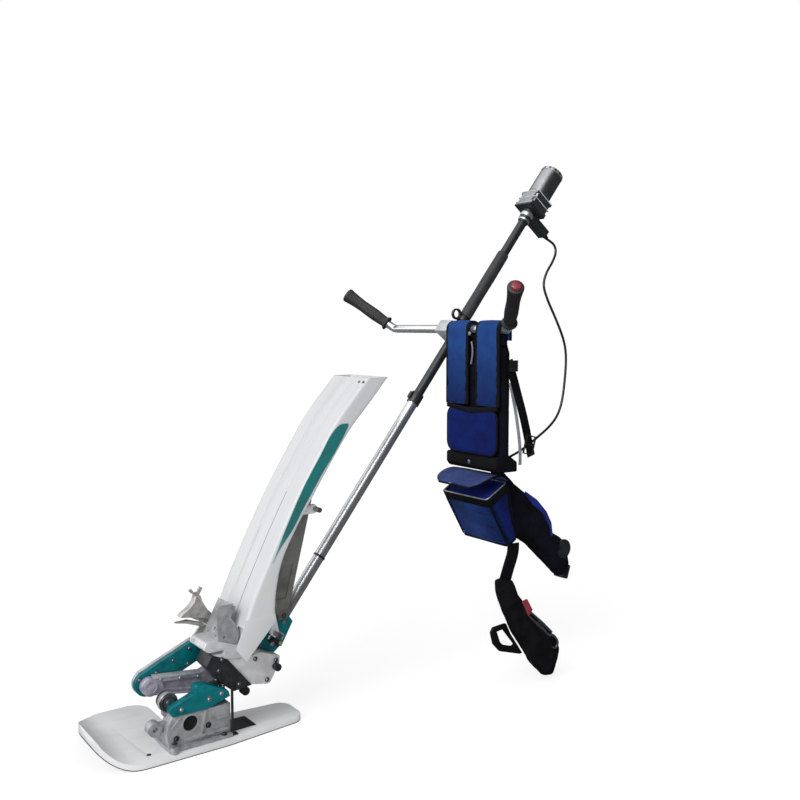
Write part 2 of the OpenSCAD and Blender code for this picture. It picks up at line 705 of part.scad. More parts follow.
module battery_pack() color("#2a2b30") on_bag()
    slab_y([[bag_wall + 4, bag_wall - bag_h], [bag_foot - bag_wall - 4, bag_wall - bag_h],
        [bag_d - bag_wall - 15, -34], [bag_wall + 4, -34]],
        bag_near + bag_wall + 8, bag_far - bag_wall - 8);

// Soft flap, hinged on the rear edge of the bag's mouth
lid_x = bag_x + bag_d * cos(bag_tilt) + 1;
lid_z = bag_z + bag_d * sin(bag_tilt) + 4;

module bag_lid() color("#2b3f8e") hung()
    slab_y([[lid_x - 0.6, lid_z - 3.6], [lid_x, lid_z + 3], [lid_x - 34, lid_z + 18], [lid_x - 66, lid_z + 13],
        [lid_x - 108, lid_z - 6], [lid_x - 107, lid_z - 10], [lid_x - 66, lid_z + 8],
        [lid_x - 34, lid_z + 13]], bag_near - 2, bag_far + 2);

// Padded wing that goes back from the bag's rear wall
module hip_belt() color("#161c3a") hung()
    slab_y([[1003, band_foot - soft_gap], [1030, 574], [1104, 519], [1167, 478], [1206, 434],
        [1228, 384], [1262, 363], [1284, 334], [1292, 273], [1264, 240], [1240, 249], [1182, 301],
        [1128, 350], [1076, 382], [1035.3, 401], [1000.6, 545]], -152, -112);

// Under the bag's bottom
module drop_strap() color("#101012") hung()
    slab_y([[1007, 380], [1034, 395.6], [1048, 380], [1010, 268], [966, 268]],
        bag_near + 2, bag_near + 8 - soft_gap);

pad_near = bag_near - 26;
pad_far = bag_near + 2 - soft_gap;

module thigh_pad() color("#0f0f12") hung()
    slab_y([[944, 306], [961, 312], [1001, 300], [1017, 256], [1066, 199], [1123, 150], [1170, 104],
        [1177, 78], [1172, 46], [1154, 10], [1118, 14], [1068, 56], [1040, 98], [997, 158],
        [969, 212], [947, 270]], pad_near, pad_far);

module pad_loop() color("#0b0b0d") hung() difference() {
    slab_y([[982, 187], [940, 184], [932, 172], [941, 140], [962, 118], [1030, 97], [1040, 98],
        [997, 158]], pad_near + 8, pad_near + 18);
    slab_y([[950, 172], [962, 142], [974, 132], [1006, 122], [1012, 126], [984, 160], [972, 174]],
        pad_near, pad_far);
}

module quick_release() color("#b53a40") hung() union() {
    slab_y([[1022, 240], [1042, 244], [1068, 200], [1046, 192]], pad_near - 6, pad_near - soft_gap);
    slab_y([[1040, 204], [1058, 207], [1136, 138], [1126, 124]], pad_near - 8, pad_near - soft_gap);
}

module side_strap() color("#0e0e10") hung() union() {
    slab_y([[958, 860], [986, 860], [1068, 622], [1042, 612]], harness_near - 4, harness_near - soft_gap);
    slab_y([[1030, 668], [1064, 676], [1072, 620], [1038, 612]], harness_near - 9, harness_near - 4);
    slab_y([[984, 868], [1004, 862], [1004, 836], [984, 832]], harness_near - 9, harness_near - 0.3);
}

float_board();
float_skid();
tail_plate();
gear_housing();
bearing_seal();
housing_cover();
depth_link();
crank();
swing_link();
link_pin();
arm_pin();
arm_case();
arm_cover();
claw_bracket();
claw_hood();
claw_fork();
claw_blade();
drive_case();
rubber_stop();
feed_case();
feed_knob();
tray_foot();
tray_gate();
rear_bracket();
clamp_lever();
support_strut();
upper_guide_rod();
lower_guide_rod();
seedling_tray();
tray_stripe();
lower_mast();
upper_mast();
mast_collar();
foam_sleeve();
hanger_ring();
handlebar_clamp();
handlebar();
grip_left();
grip_right();
grip_button();
motor_bracket();
reduction_gearbox();
motor();
motor_cap();
cable_gland();
power_lead();
shoulder_strap_far();
shoulder_strap_near();
harness_panel();
lower_pad();
harness_band();
battery_bag();
bag_lid();
battery_pack();
hip_belt();
drop_strap();
thigh_pad();
pad_loop();
quick_release();
side_strap();
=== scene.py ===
"""Looks of the hand guided single-row rice transplanter with its slung battery harness."""
import json
import math

import bmesh
import bpy
from bpy.props import FloatProperty, FloatVectorProperty, IntProperty, PointerProperty
from mathutils import Matrix, Vector, noise
from mathutils.geometry import delaunay_2d_cdt


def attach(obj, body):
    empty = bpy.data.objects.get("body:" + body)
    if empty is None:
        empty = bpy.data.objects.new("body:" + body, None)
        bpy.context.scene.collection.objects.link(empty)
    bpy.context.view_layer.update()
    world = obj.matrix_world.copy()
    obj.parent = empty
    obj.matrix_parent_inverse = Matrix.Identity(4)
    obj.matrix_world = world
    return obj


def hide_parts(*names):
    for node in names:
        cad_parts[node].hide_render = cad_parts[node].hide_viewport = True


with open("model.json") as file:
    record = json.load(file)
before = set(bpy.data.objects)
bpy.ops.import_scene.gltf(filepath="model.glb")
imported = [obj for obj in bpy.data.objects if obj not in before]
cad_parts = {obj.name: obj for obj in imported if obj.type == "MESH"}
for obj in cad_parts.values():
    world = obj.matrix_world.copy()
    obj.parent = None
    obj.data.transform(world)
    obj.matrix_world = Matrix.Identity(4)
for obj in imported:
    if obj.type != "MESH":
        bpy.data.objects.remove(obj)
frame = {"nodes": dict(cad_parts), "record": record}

bl_info = {
    "name": "Rice transplanter looks",
    "version": (1, 0, 0),
    "blender": (4, 5, 0),
    "location": "View3D > Sidebar > Transplanter",
    "description": "Pieces and finishes of a hand guided single-row rice transplanter",
    "category": "Object",
}

NODES = frame["nodes"]
BODY = {n: b for b, nodes in frame["record"]["behaviour"]["bodies"].items() for n in nodes}

# Sizes of the solids that the dressed pieces follow, in millimetres and degrees
HOLD_BACK, HOLD_HEIGHT = 960, 939
MAST_ANGLE, MAST_OFFSET = 51.8, 29
BAR_HALF, BAR_BEND, BAR_TILT = 240, 26, 41
GRIP_LENGTH, GRIP_ANGLE = 150, 48
TRAY_HALF, TRAY_WALL = 80, 3
PANEL_NEAR, PANEL_FAR = -227, -27
BAG_DEPTH, BAG_FOOT, BAG_HEIGHT, BAG_NEAR, BAG_FAR = 82, 38, 150, -202, -22
LID_HINGE, LID_REACH, LID_DROOP = 1000, 106, 6

# Ways in the part's frame: X runs back to the operator, and Y to the far side
BACK, FAR, NEAR, UP = (1, 0, 0), (0, 1, 0), (0, -1, 0), (0, 0, 1)

# Camera fitted to the photograph: pixels, a sensor in millimetres, degrees, and a place in metres
FOCAL, PICTURE, HORIZON, SENSOR = 930, 800, 75, 36
CAMERA_TURN, CAMERA_PLACE = -36, (-1.568, -1.944, 0.011)

# Floor half a millimetre under the float, in metres, and its light levels
FLOOR_HEIGHT, FLOOR_HALF = -0.9395, 12
FLOOR_SHADE, FLOOR_GLOW, FLOOR_MIRRORED = 0.3, 0.77, 0.07

# Light levels of the world on the object, and of the room that its shiny pieces mirror. The room
# brightens towards one way, between two cosines of the angle to it
FILL, ROOM_DARK, ROOM_BRIGHT = 0.5, 0.02, 1.4
ROOM_WAY, ROOM_FROM, ROOM_TO = (-0.78, 0.3, 0.55), 0.25, 0.75

# Way to the key light, and its width in degrees
KEY_WAY, KEY_ANGLE = (-0.8, -0.4, 0.78), 35

# Angle in degrees up to which a surface is shaded as one
SMOOTH = 40


# Places and shapes

def at(x, y, z):
    """Point in the part's frame from millimetres over the ground under the float's nose"""
    return Vector(((x - HOLD_BACK) / 1000, y / 1000, (z - HOLD_HEIGHT) / 1000))


def turned(point, angle=90, axis="X"):
    """Frame at a point, turned about one axis; the usual turn makes its Z face the near side"""
    return Matrix.Translation(point) @ Matrix.Rotation(math.radians(angle), 4, axis)


def heads(facing, *points):
    """Places of bolt heads that all face one way, from points in millimetres"""
    return [(at(*point), facing) for point in points]


MAST = turned(at(HOLD_BACK + MAST_OFFSET * math.sin(math.radians(MAST_ANGLE)), 0,
                 HOLD_HEIGHT - MAST_OFFSET * math.cos(math.radians(MAST_ANGLE))),
              90 - MAST_ANGLE, "Y")
BAG = turned(at(928, 0, 508), -30, "Y")


def mast(along, x=0, y=0):
    """Frame on the mast: Z up the mast, -X towards the handlebar, in millimetres"""
    return MAST @ Matrix.Translation(Vector((x, y, along)) / 1000)


def bar(side):
    """Frame of one end of the handlebar: X outward along the bar"""
    return (Matrix.Rotation(math.radians(-BAR_TILT), 4, "Y")
            @ Matrix.Rotation(math.radians(90 * side), 4, "Z"))


def grip(side):
    """Frame of one grip: Z outward along it from the bend's corner"""
    return (bar(side) @ Matrix.Translation((BAR_HALF / 1000, 0, 0))
            @ Matrix.Rotation(math.radians(90 - GRIP_ANGLE), 4, "Y"))


def curve_through(points, steps):
    """Smooth line through the points, with so many steps from one to the next"""
    out = []
    last = len(points) - 1
    for i in range(last):
        a, b, c, d = (points[max(i - 1, 0)], points[i], points[i + 1], points[min(i + 2, last)])
        for k in range(steps):
            t = k / steps
            out.append(0.5 * (2 * b + (c - a) * t + (2 * a - 5 * b + 4 * c - d) * t * t
                              + (3 * b - a - 3 * c + d) * t ** 3))
    return out + [points[last]]


def circle(radius, count):
    """Points round a circle about the origin"""
    return [(radius * math.cos(k * math.tau / count), radius * math.sin(k * math.tau / count))
            for k in range(count)]


def round_rect(width, height, radius, corner=4):
    """Outline of a rectangle with round corners, anticlockwise"""
    out = []
    for cx, cy, start in ((1, 1, 0), (-1, 1, 90), (-1, -1, 180), (1, -1, 270)):
        for k in range(corner + 1):
            a = math.radians(start + 90 * k / corner)
            out.append((cx * (width / 2 - radius) + radius * math.cos(a),
                        cy * (height / 2 - radius) + radius * math.sin(a)))
    return out


def divided(ring, cuts):
    """Points of a closed ring with its sides cut up, each with its side's width and height"""
    for k, (a, b) in enumerate(ring):
        a2, b2 = ring[(k + 1) % len(ring)]
        wide, high = abs(a2 - a), abs(b2 - b)
        n = cuts(wide, high)
        for s in range(n):
            yield a + (a2 - a) * s / n, b + (b2 - b) * s / n, wide, high


def linked(name, mesh):
    """Object for a mesh, put into the scene"""
    obj = bpy.data.objects.new(name, mesh)
    bpy.context.scene.collection.objects.link(obj)
    return obj


def build(name, verts, faces, sharp=SMOOTH):
    """Object from points in metres, with smooth shading up to the sharp angle"""
    mesh = bpy.data.meshes.new(name)
    mesh.from_pydata([tuple(v) for v in verts], [], faces)
    bm = bmesh.new()
    bm.from_mesh(mesh)
    bmesh.ops.remove_doubles(bm, verts=bm.verts, dist=1e-6)
    bmesh.ops.recalc_face_normals(bm, faces=bm.faces)
    bm.to_mesh(mesh)
    bm.free()
    mesh.shade_smooth()
    mesh.set_sharp_from_angle(angle=math.radians(sharp))
    return linked(name, mesh)


def loft(name, rings, cap=True, sharp=SMOOTH):
    """Skin over closed rings of points, with end caps"""
    count = len(rings[0])
    verts = [p for ring in rings for p in ring]
    faces = []
    for i in range(len(rings) - 1):
        for k in range(count):
            a, b = i * count + k, i * count + (k + 1) % count
            faces.append((a, b, b + count, a + count))
    if cap:
        faces.append(tuple(range(count))[::-1])
        faces.append(tuple(range((len(rings) - 1) * count, len(rings) * count)))
    return build(name, verts, faces, sharp)


def lathe(name, place, profile, count=48, ribs=0, rib=0.0, sharp=SMOOTH, cap=True):
    """Turned piece from (height, radius) in millimetres up the frame's Z, with ribs along it"""
    rings = []
    for height, radius in profile:
        ring = []
        for k in range(count):
            a = k * math.tau / count
            r = max(radius + (rib * math.cos(a * ribs) if ribs and radius > 8 else 0), 0.01)
            ring.append(place @ (Vector((r * math.cos(a), r * math.sin(a), height)) / 1000))
        rings.append(ring)
    return loft(name, rings, cap, sharp)


def sweep(name, path, section, up=FAR, sharp=SMOOTH):
    """Section of (side, up) points in metres carried along a path"""
    up = Vector(up)
    last = len(path) - 1
    rings = []
    for i, p in enumerate(path):
        ahead = (path[min(i + 1, last)] - path[max(i - 1, 0)]).normalized()
        side = ahead.cross(up).normalized()
        top = side.cross(ahead)
        rings.append([p + side * a + top * b for a, b in section])
    return loft(name, rings, sharp=sharp)


def slab(name, outline, y0, y1, bevel=1.0, segments=2):
    """Plate from an (x, z) outline between two y, with bevelled edges, in millimetres"""
    rings = [[at(x, y, z) for x, z in outline] for y in (y0, y1)]
    return bevelled(loft(name, rings), bevel, segments)


def box_piece(name, place, low, high, bevel=1.0):
    """Bevelled box in a frame, in millimetres"""
    x0, y0, z0 = low
    x1, y1, z1 = high
    corners = ((x0, y0), (x1, y0), (x1, y1), (x0, y1))
    rings = [[place @ (Vector((x, y, z)) / 1000) for x, y in corners] for z in (z0, z1)]
    return bevelled(loft(name, rings), bevel)


def bevelled(obj, width, segments=2):
    """Rounds the edges that are sharper than 30 degrees, by a width in millimetres"""
    bm = bmesh.new()
    bm.from_mesh(obj.data)
    bmesh.ops.remove_doubles(bm, verts=bm.verts, dist=2e-6)
    bmesh.ops.dissolve_limit(bm, angle_limit=math.radians(3), verts=bm.verts, edges=bm.edges)
    sharp = [e for e in bm.edges if e.is_manifold and e.calc_face_angle(0) > math.radians(30)]
    bmesh.ops.bevel(bm, geom=sharp, offset=width / 1000, segments=segments, profile=0.6,
                    affect="EDGES", clamp_overlap=True)
    bmesh.ops.recalc_face_normals(bm, faces=bm.faces)
    bm.to_mesh(obj.data)
    bm.free()
    obj.data.shade_smooth()
    obj.data.set_sharp_from_angle(angle=math.radians(32))
    return obj


def rounded(node, width):
    """Copy of a solid with its edges rounded as a cast, sawn or moulded piece has them"""
    obj = linked(node + "_rounded", NODES[node].data.copy())
    obj.data.materials.clear()
    return bevelled(obj, width)


def joined(name, parts):
    """One object from several"""
    bm = bmesh.new()
    for part in parts:
        bm.from_mesh(part.data)
    mesh = bpy.data.meshes.new(name)
    bm.to_mesh(mesh)
    bm.free()
    for part in parts:
        bpy.data.objects.remove(part)
    mesh.shade_smooth()
    mesh.set_sharp_from_angle(angle=math.radians(35))
    return linked(name, mesh)


def bolts(name, places, radius, height, sides=6):
    """Joined bolt heads: each place is a point and the way its head faces"""
    parts = []
    for point, facing in places:
        turn = Vector(facing).to_track_quat("Z", "Y").to_matrix().to_4x4()
        place = Matrix.Translation(point) @ turn
        parts.append(lathe("washer", place, [(0, radius * 1.35), (0.8, radius * 1.35),
            (1.0, radius * 1.2)], 20))
        parts.append(lathe("head", place, [(0.9, radius), (height * 0.8, radius),
            (height, radius * 0.82), (height, radius * 0.45), (height * 0.7, radius * 0.4)], sides,
            sharp=25))
    return joined(name, parts)


def shaken(obj, amount, size):
    """Moves the points along their normals by smooth noise, both in millimetres"""
    for v in obj.data.vertices:
        v.co += v.normal * (noise.noise(v.co * 1000 / size) * amount / 1000)


# Finishes

def rgb(code):
    """sRGB hex to linear colour"""
    parts = [int(code[i:i + 2], 16) / 255 for i in (1, 3, 5)]
    return tuple(c / 12.92 if c <= 0.04045 else ((c + 0.055) / 1.055) ** 2.4 for c in parts) + (1,)


def add(tree, kind, inputs=None, **settings):
    """Adds a node with its settings, values and links"""
    new = tree.nodes.new("ShaderNode" + kind)
    for key, value in settings.items():
        setattr(new, key, value)
    for key, value in (inputs or {}).items():
        if isinstance(value, bpy.types.NodeSocket):
            tree.links.new(value, new.inputs[key])
        else:
            new.inputs[key].default_value = value
    return new


def surface(name, base, second, patch, roughness, grain, height, stretch=(1, 1, 1), fade=None,
            **shader):
    """Material whose colour drifts to a second one over patches, with a grain in its height.

    patch and grain are sizes in millimetres, and height is the grain's depth in millimetres.
    fade is (low, high, colour): the colour holds below the low height, in metres in the part's
    frame, and has given way to the base by the high one.
    """
    mat = bpy.data.materials.new(name)
    mat.use_nodes = True
    mat.diffuse_color = rgb(base)
    tree = mat.node_tree
    tree.nodes.clear()
    where = add(tree, "TexCoord").outputs["Object"]
    drawn = add(tree, "Mapping", {"Vector": where, "Scale": stretch}).outputs["Vector"]
    patches = add(tree, "TexNoise", {"Vector": drawn, "Scale": 1000 / patch, "Detail": 4.0,
        "Roughness": 0.6})
    amount = add(tree, "MapRange", {"Value": patches.outputs["Fac"], "From Min": 0.38,
        "From Max": 0.68})
    mix = add(tree, "Mix", {"Factor": amount.outputs["Result"], 6: rgb(base), 7: rgb(second)},
              data_type="RGBA")
    if fade:
        low, high, lower = fade
        rise = add(tree, "MapRange", {"Value": add(tree, "SeparateXYZ", {0: where}).outputs["Z"],
            "From Min": low, "From Max": high})
        mix = add(tree, "Mix", {"Factor": rise.outputs["Result"], 6: rgb(lower), 7: mix.outputs[2]},
            data_type="RGBA")
    grains = add(tree, "TexNoise", {"Vector": drawn, "Scale": 1000 / grain, "Detail": 3.0})
    rough = add(tree, "MapRange", {"Value": grains.outputs["Fac"], "From Min": 0.3, "From Max": 0.7,
        "To Min": roughness * 0.88, "To Max": roughness * 1.14})
    bump = add(tree, "Bump", {"Height": grains.outputs["Fac"], "Distance": height / 1000,
        "Strength": 0.8})
    bsdf = add(tree, "BsdfPrincipled", {"Base Color": mix.outputs[2],
        "Roughness": rough.outputs["Result"], "Normal": bump.outputs["Normal"], **shader})
    add(tree, "OutputMaterial", {"Surface": bsdf.outputs["BSDF"]})
    return mat


# Turn of a wave texture, in radians
WAVE_TURN = 6.2832


def woven(name, base, second, thread, sheen=0.05, roughness=0.85, fade=None):
    """Woven cloth: threads over and under, drawn coarser than the real 0.6 mm so that they show"""
    mat = surface(name, base, second, 55, roughness, 3, 0.15, fade=fade,
                  **{"Sheen Weight": sheen, "Sheen Roughness": 0.5, "Specular IOR Level": 0.12})
    tree = mat.node_tree
    bump = next(n for n in tree.nodes if n.bl_idname == "ShaderNodeBump")
    where = add(tree, "TexCoord").outputs["Object"]
    waves = [add(tree, "TexWave", {"Vector": where, "Scale": 1000 / thread / WAVE_TURN,
        "Distortion": 0.4}, wave_type="BANDS", bands_direction=way) for way in ("X", "Y", "Z")]
    first = add(tree, "Math", {0: waves[0].outputs["Fac"], 1: waves[1].outputs["Fac"]},
                operation="MAXIMUM")
    both = add(tree, "Math", {0: first.outputs[0], 1: waves[2].outputs["Fac"]}, operation="ADD")
    over = add(tree, "Bump", {"Height": both.outputs[0], "Distance": 0.0004, "Strength": 0.5,
        "Normal": bump.outputs["Normal"]})
    bsdf = next(n for n in tree.nodes if n.bl_idname == "ShaderNodeBsdfPrincipled")
    tree.links.new(over.outputs["Normal"], bsdf.inputs["Normal"])
    return mat


FINISH = {}


def hex_of(colour):
    """Property colour as a hex string"""
    out = "#"
    for c in colour[:3]:
        s = c * 12.92 if c <= 0.0031308 else 1.055 * c ** (1 / 2.4) - 0.055
        out += f"{max(0, min(255, round(s * 255))):02x}"
    return out


def make_finishes(look):
    """All the finishes, each from what the real surface is"""
    teal, blue, navy = (hex_of(c) for c in (look.teal, look.blue, look.navy))
    # Moulded polyethylene of the float: pale, waxy, scuffed along its length
    FINISH["float"] = surface("MouldedPolyethyleneFloat", "#ececee", "#dedfe2", 60, 0.42, 5, 0.12,
        stretch=(0.5, 1, 1))
    # Rubber skid sheet: matt near-black
    FINISH["skid"] = surface("SkidRubber", "#222224", "#333335", 25, 0.75, 3, 0.2)
    # Sand cast aluminium of the gear housing: dull grey with a pebbly skin
    FINISH["casting"] = surface("SandCastAluminium", "#b3b5b8", "#909295", 18, 0.48, 4, 0.14,
        Metallic=0.3)
    # Darker casting of the drive case: oily cast iron, with painted shade of the tray above it
    # darkening its colour
    FINISH["dark_casting"] = surface("OiledCastIronPaintedShade", "#3d4044", "#292b2f", 20, 0.42, 4, 0.12,
        Metallic=0.4)
    # Die cast link: smoother, with a cold lilac tone
    FINISH["link"] = surface("DieCastLink", "#b9b7c6", "#918e9e", 16, 0.36, 4, 0.1, Metallic=0.25)
    # Die cast arm and handlebar clamp: smooth, pale and satin
    FINISH["arm"] = surface("DieCastArm", "#c8cbcf", "#acafb4", 20, 0.34, 4, 0.1, Metallic=0.3)
    # Bright die casting of the tray's foot and feed case: pale grey, satin
    FINISH["bright"] = surface("BrightDieCasting", "#e2e2e5", "#c8c8cc", 26, 0.4, 4, 0.08,
        Metallic=0.25)
    # Baked enamel: teal, glossy, faint orange peel
    FINISH["teal"] = surface("BakedTealEnamel", teal, "#045861", 30, 0.28, 6, 0.03,
        **{"Coat Weight": 0.12, "Coat Roughness": 0.12, "Specular IOR Level": 0.2})
    # Powder coat of the upper tube, depth link and motor bracket: black, satin, fine texture
    FINISH["black"] = surface("BlackPowderCoat", "#2a2b2e", "#202124", 22, 0.42, 4, 0.04)
    # Anodised case of motor and gearbox: pale satin metal, dark where it mirrors the dark side
    FINISH["motor"] = surface("DarkAnodisedCase", "#a6a8ac", "#94969a", 30, 0.3, 8, 0.005,
        Metallic=0.95)
    # Turned aluminium end bell: soft metal shine
    FINISH["end_bell"] = surface("TurnedAluminium", "#cfd1d4", "#b4b6ba", 24, 0.36, 6, 0.01,
        Metallic=0.8)
    # Zinc plated tube: bright, drawn along its length
    FINISH["zinc"] = surface("ZincPlatedTube", "#d4d5d8", "#c4c5c9", 60, 0.36, 12, 0.002,
        stretch=(1, 1, 0.2), Metallic=0.85)
    # Chrome of the handlebar: mirror bright
    FINISH["chrome"] = surface("ChromedTube", "#f0f1f3", "#e2e3e6", 40, 0.2, 12, 0.001, Metallic=0.8)
    # Ground steel of rods, pins and springs: bright, with a fine grain
    FINISH["steel"] = surface("GroundSteel", "#a2a4a8", "#7c7e82", 14, 0.3, 4, 0.02, Metallic=0.9)
    # Oiled steel of crank, lever and socket screws: dark, with a soft shine
    FINISH["dark_steel"] = surface("OiledSteel", "#55565b", "#34353a", 14, 0.38, 4, 0.03,
        Metallic=0.7)
    # Claw steel: worn bright by the soil
    FINISH["claw"] = surface("WornBrightSteel", "#cac9c6", "#a09e9a", 12, 0.38, 4, 0.08, Metallic=0.5)
    # Plate steel of the tray's strut: grey, rolled
    FINISH["plate"] = surface("RolledSteelPlate", "#8f8f8c", "#737370", 40, 0.45, 4, 0.08,
        Metallic=0.35)
    # Glossy ABS of the tray: white with a cold grey cast and faint streaks along it
    FINISH["tray"] = surface("GlossAbsTray", "#d9dadd", "#d2d3d6", 140, 0.3, 12, 0.002,
        stretch=(0.3, 2, 0.3))
    # Shade along the tray's grooves: matt grey
    FINISH["groove"] = surface("GrooveShade", "#8e8f93", "#9fa0a4", 40, 0.6, 6, 0.02)
    # Printed band on the tray: teal, paler towards its foot
    FINISH["tray_teal"] = surface("PrintedTealBand", "#1d7f7f", "#2b6f70", 60, 0.28, 8, 0.02,
        fade=(-0.57, -0.47, "#8fbcbb"))
    # EPDM foam sleeve: open skin, matt
    FINISH["foam"] = surface("FoamSleeve", "#333438", "#27282b", 24, 0.62, 3, 0.08)
    # Ribbed grip rubber: matt with shiny crests
    FINISH["grip"] = surface("GripRubber", "#2b2b2d", "#202022", 20, 0.5, 4, 0.03)
    # Moulded rubber of seal, stop and strain relief: near-black, matt
    FINISH["rubber"] = surface("BlackRubber", "#161617", "#222223", 10, 0.55, 2, 0.1)
    # PVC jacket of the lead: black, softly glossy
    FINISH["jacket"] = surface("PvcJacket", "#17171a", "#232326", 30, 0.38, 3, 0.02)
    # Injection moulded black plastic
    FINISH["plastic"] = surface("MouldedBlackPlastic", "#1d1e20", "#292a2c", 20, 0.4, 2, 0.08)
    # Red button and buckle: acetal, glossy
    FINISH["red"] = surface("RedAcetal", "#95363e", "#7c2a32", 12, 0.34, 3, 0.03)
    # Dyed nylon cloth of the shoulder straps: blue, with painted shade darkening it towards the foot
    FINISH["blue_cloth"] = woven("BlueNylonCloth", blue, "#1d3b76", 2.6, 0.02,
        fade=(-0.2, -0.04, "#0f2356"))
    # The same cloth in the dyes of the lower pad, the lid and the belt. On the bag it is one cloth in
    # two tones by facing: painted light on its front and painted shade on its sides, and the belt's
    # panel takes the side's tone
    FINISH["navy_cloth"] = woven("NavyNylonCloth", navy, "#0c1850", 2.6, 0)
    FINISH["bag_front_painted_light"] = woven("BagFrontPaintedLightCloth", "#1d3a78", "#162c60", 2.6, 0.02)
    FINISH["bag_side_painted_shade_and_belt_panel"] = woven("BagSidePaintedShadeAndBeltPanelCloth", "#1a2b80", "#122060", 2.6, 0.02)
    FINISH["lid_cloth"] = woven("LidNylonCloth", "#3b4a80", "#2b3868", 2.6)
    FINISH["dark_cloth"] = woven("DarkNylonCloth", "#0a0a10", "#0f1020", 2.6, 0)
    # Webbing and bindings: ribbed polypropylene, black or pale
    FINISH["webbing"] = woven("BlackWebbing", "#0b0b0d", "#121215", 1.8, 0, 0.7)
    FINISH["grey_webbing"] = woven("PaleWebbing", "#8d8e96", "#6f7078", 2.2, 0.1)
    # Neoprene of the thigh pad: dead black foam skin
    FINISH["neoprene"] = surface("NeoprenePad", "#0d0d0f", "#17171a", 30, 0.8, 2, 0.2,
        **{"Specular IOR Level": 0.08})
    # Reflective lining of the bag's mouth: silvery film
    FINISH["lining"] = surface("SilverLining", "#a2a4b0", "#7e8090", 14, 0.4, 5, 0.2, Metallic=0.6)
    # Sewing thread of the strap seams: blue, matt
    FINISH["thread"] = surface("SewingThread", "#3a4f9a", "#2c3f84", 8, 0.7, 1, 0.1)


def dress(obj, finish, node, body=None):
    """Gives a piece its finish, and the body of the node that it goes with"""
    obj.data.materials.clear()
    obj.data.materials.append(FINISH[finish])
    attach(obj, body or BODY[node])


def stand_in(obj, finish, node):
    """Dresses a piece that takes the place of a node's solid"""
    dress(obj, finish, node)
    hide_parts(node)


def cushion(obj, finish, node):
    """Dresses a stuffed piece that takes the place of a node's solid"""
    stand_in(obj, finish, node)


def round_nodes(table):
    """Rounded copies for a table of node, finish and edge width in millimetres"""
    for node, finish, width in table:
        stand_in(rounded(node, width), finish, node)


# Sizes and colours that a user changes

COLOUR = {"subtype": "COLOR", "size": 4, "min": 0, "max": 1}


class TransplanterLook(bpy.types.PropertyGroup):
    """Colours and fine sizes of the dressed machine"""
    teal: FloatVectorProperty(name="Teal", description="Enamel of the covers and brackets",
                              default=rgb("#05737a"), **COLOUR)
    blue: FloatVectorProperty(name="Strap blue", description="Cloth of the shoulder straps",
                              default=rgb("#234889"), **COLOUR)
    navy: FloatVectorProperty(name="Navy", description="Cloth of the lower pad",
                              default=rgb("#0e2066"), **COLOUR)
    floor: FloatVectorProperty(name="Floor", description="Colour of the studio floor",
                               default=(0.9, 0.9, 0.9, 1), **COLOUR)
    lead: FloatProperty(name="Lead", description="Diameter of the power lead", default=0.007,
                        min=0.004, max=0.012, unit="LENGTH")
    piping: FloatProperty(name="Piping", description="Diameter of the bound edges", default=0.006,
                          min=0.003, max=0.01, unit="LENGTH")
    ribs: IntProperty(name="Grip ribs", description="Ribs round each grip", default=26, min=12,
                      max=40)
    key: FloatProperty(name="Key light", description="Strength of the key light", default=1.8,
                       min=0.2, max=5)


# Soft piece tools

def nearest(p, line):
    """Distance from a point to a polyline, all in millimetres"""
    best = 1e9
    for a, b in zip(line, line[1:]):
        ab = Vector(b) - Vector(a)
        t = max(0.0, min(1.0, (Vector(p) - Vector(a)).dot(ab) / max(ab.length_squared, 1e-9)))
        best = min(best, (Vector(p) - Vector(a) - ab * t).length)
    return best


def resampled(line, pitch):
    """Polyline cut into steps of about one pitch"""
    out = []
    for a, b in zip(line, line[1:]):
        a, b = Vector(a), Vector(b)
        n = max(1, round((b - a).length / pitch))
        out += [a + (b - a) * k / n for k in range(n)]
    return out + [Vector(line[-1])]


def inside(p, loop):
    """Whether a point lies within a closed outline"""
    hit = False
    for (x0, y0), (x1, y1) in zip(loop, loop[1:] + loop[:1]):
        if (y0 > p[1]) != (y1 > p[1]) and p[0] < (x1 - x0) * (p[1] - y0) / (y1 - y0) + x0:
            hit = not hit
    return hit


# Way in millimetres to each side over which a seam draws a pad in
SEAM_REACH = 9


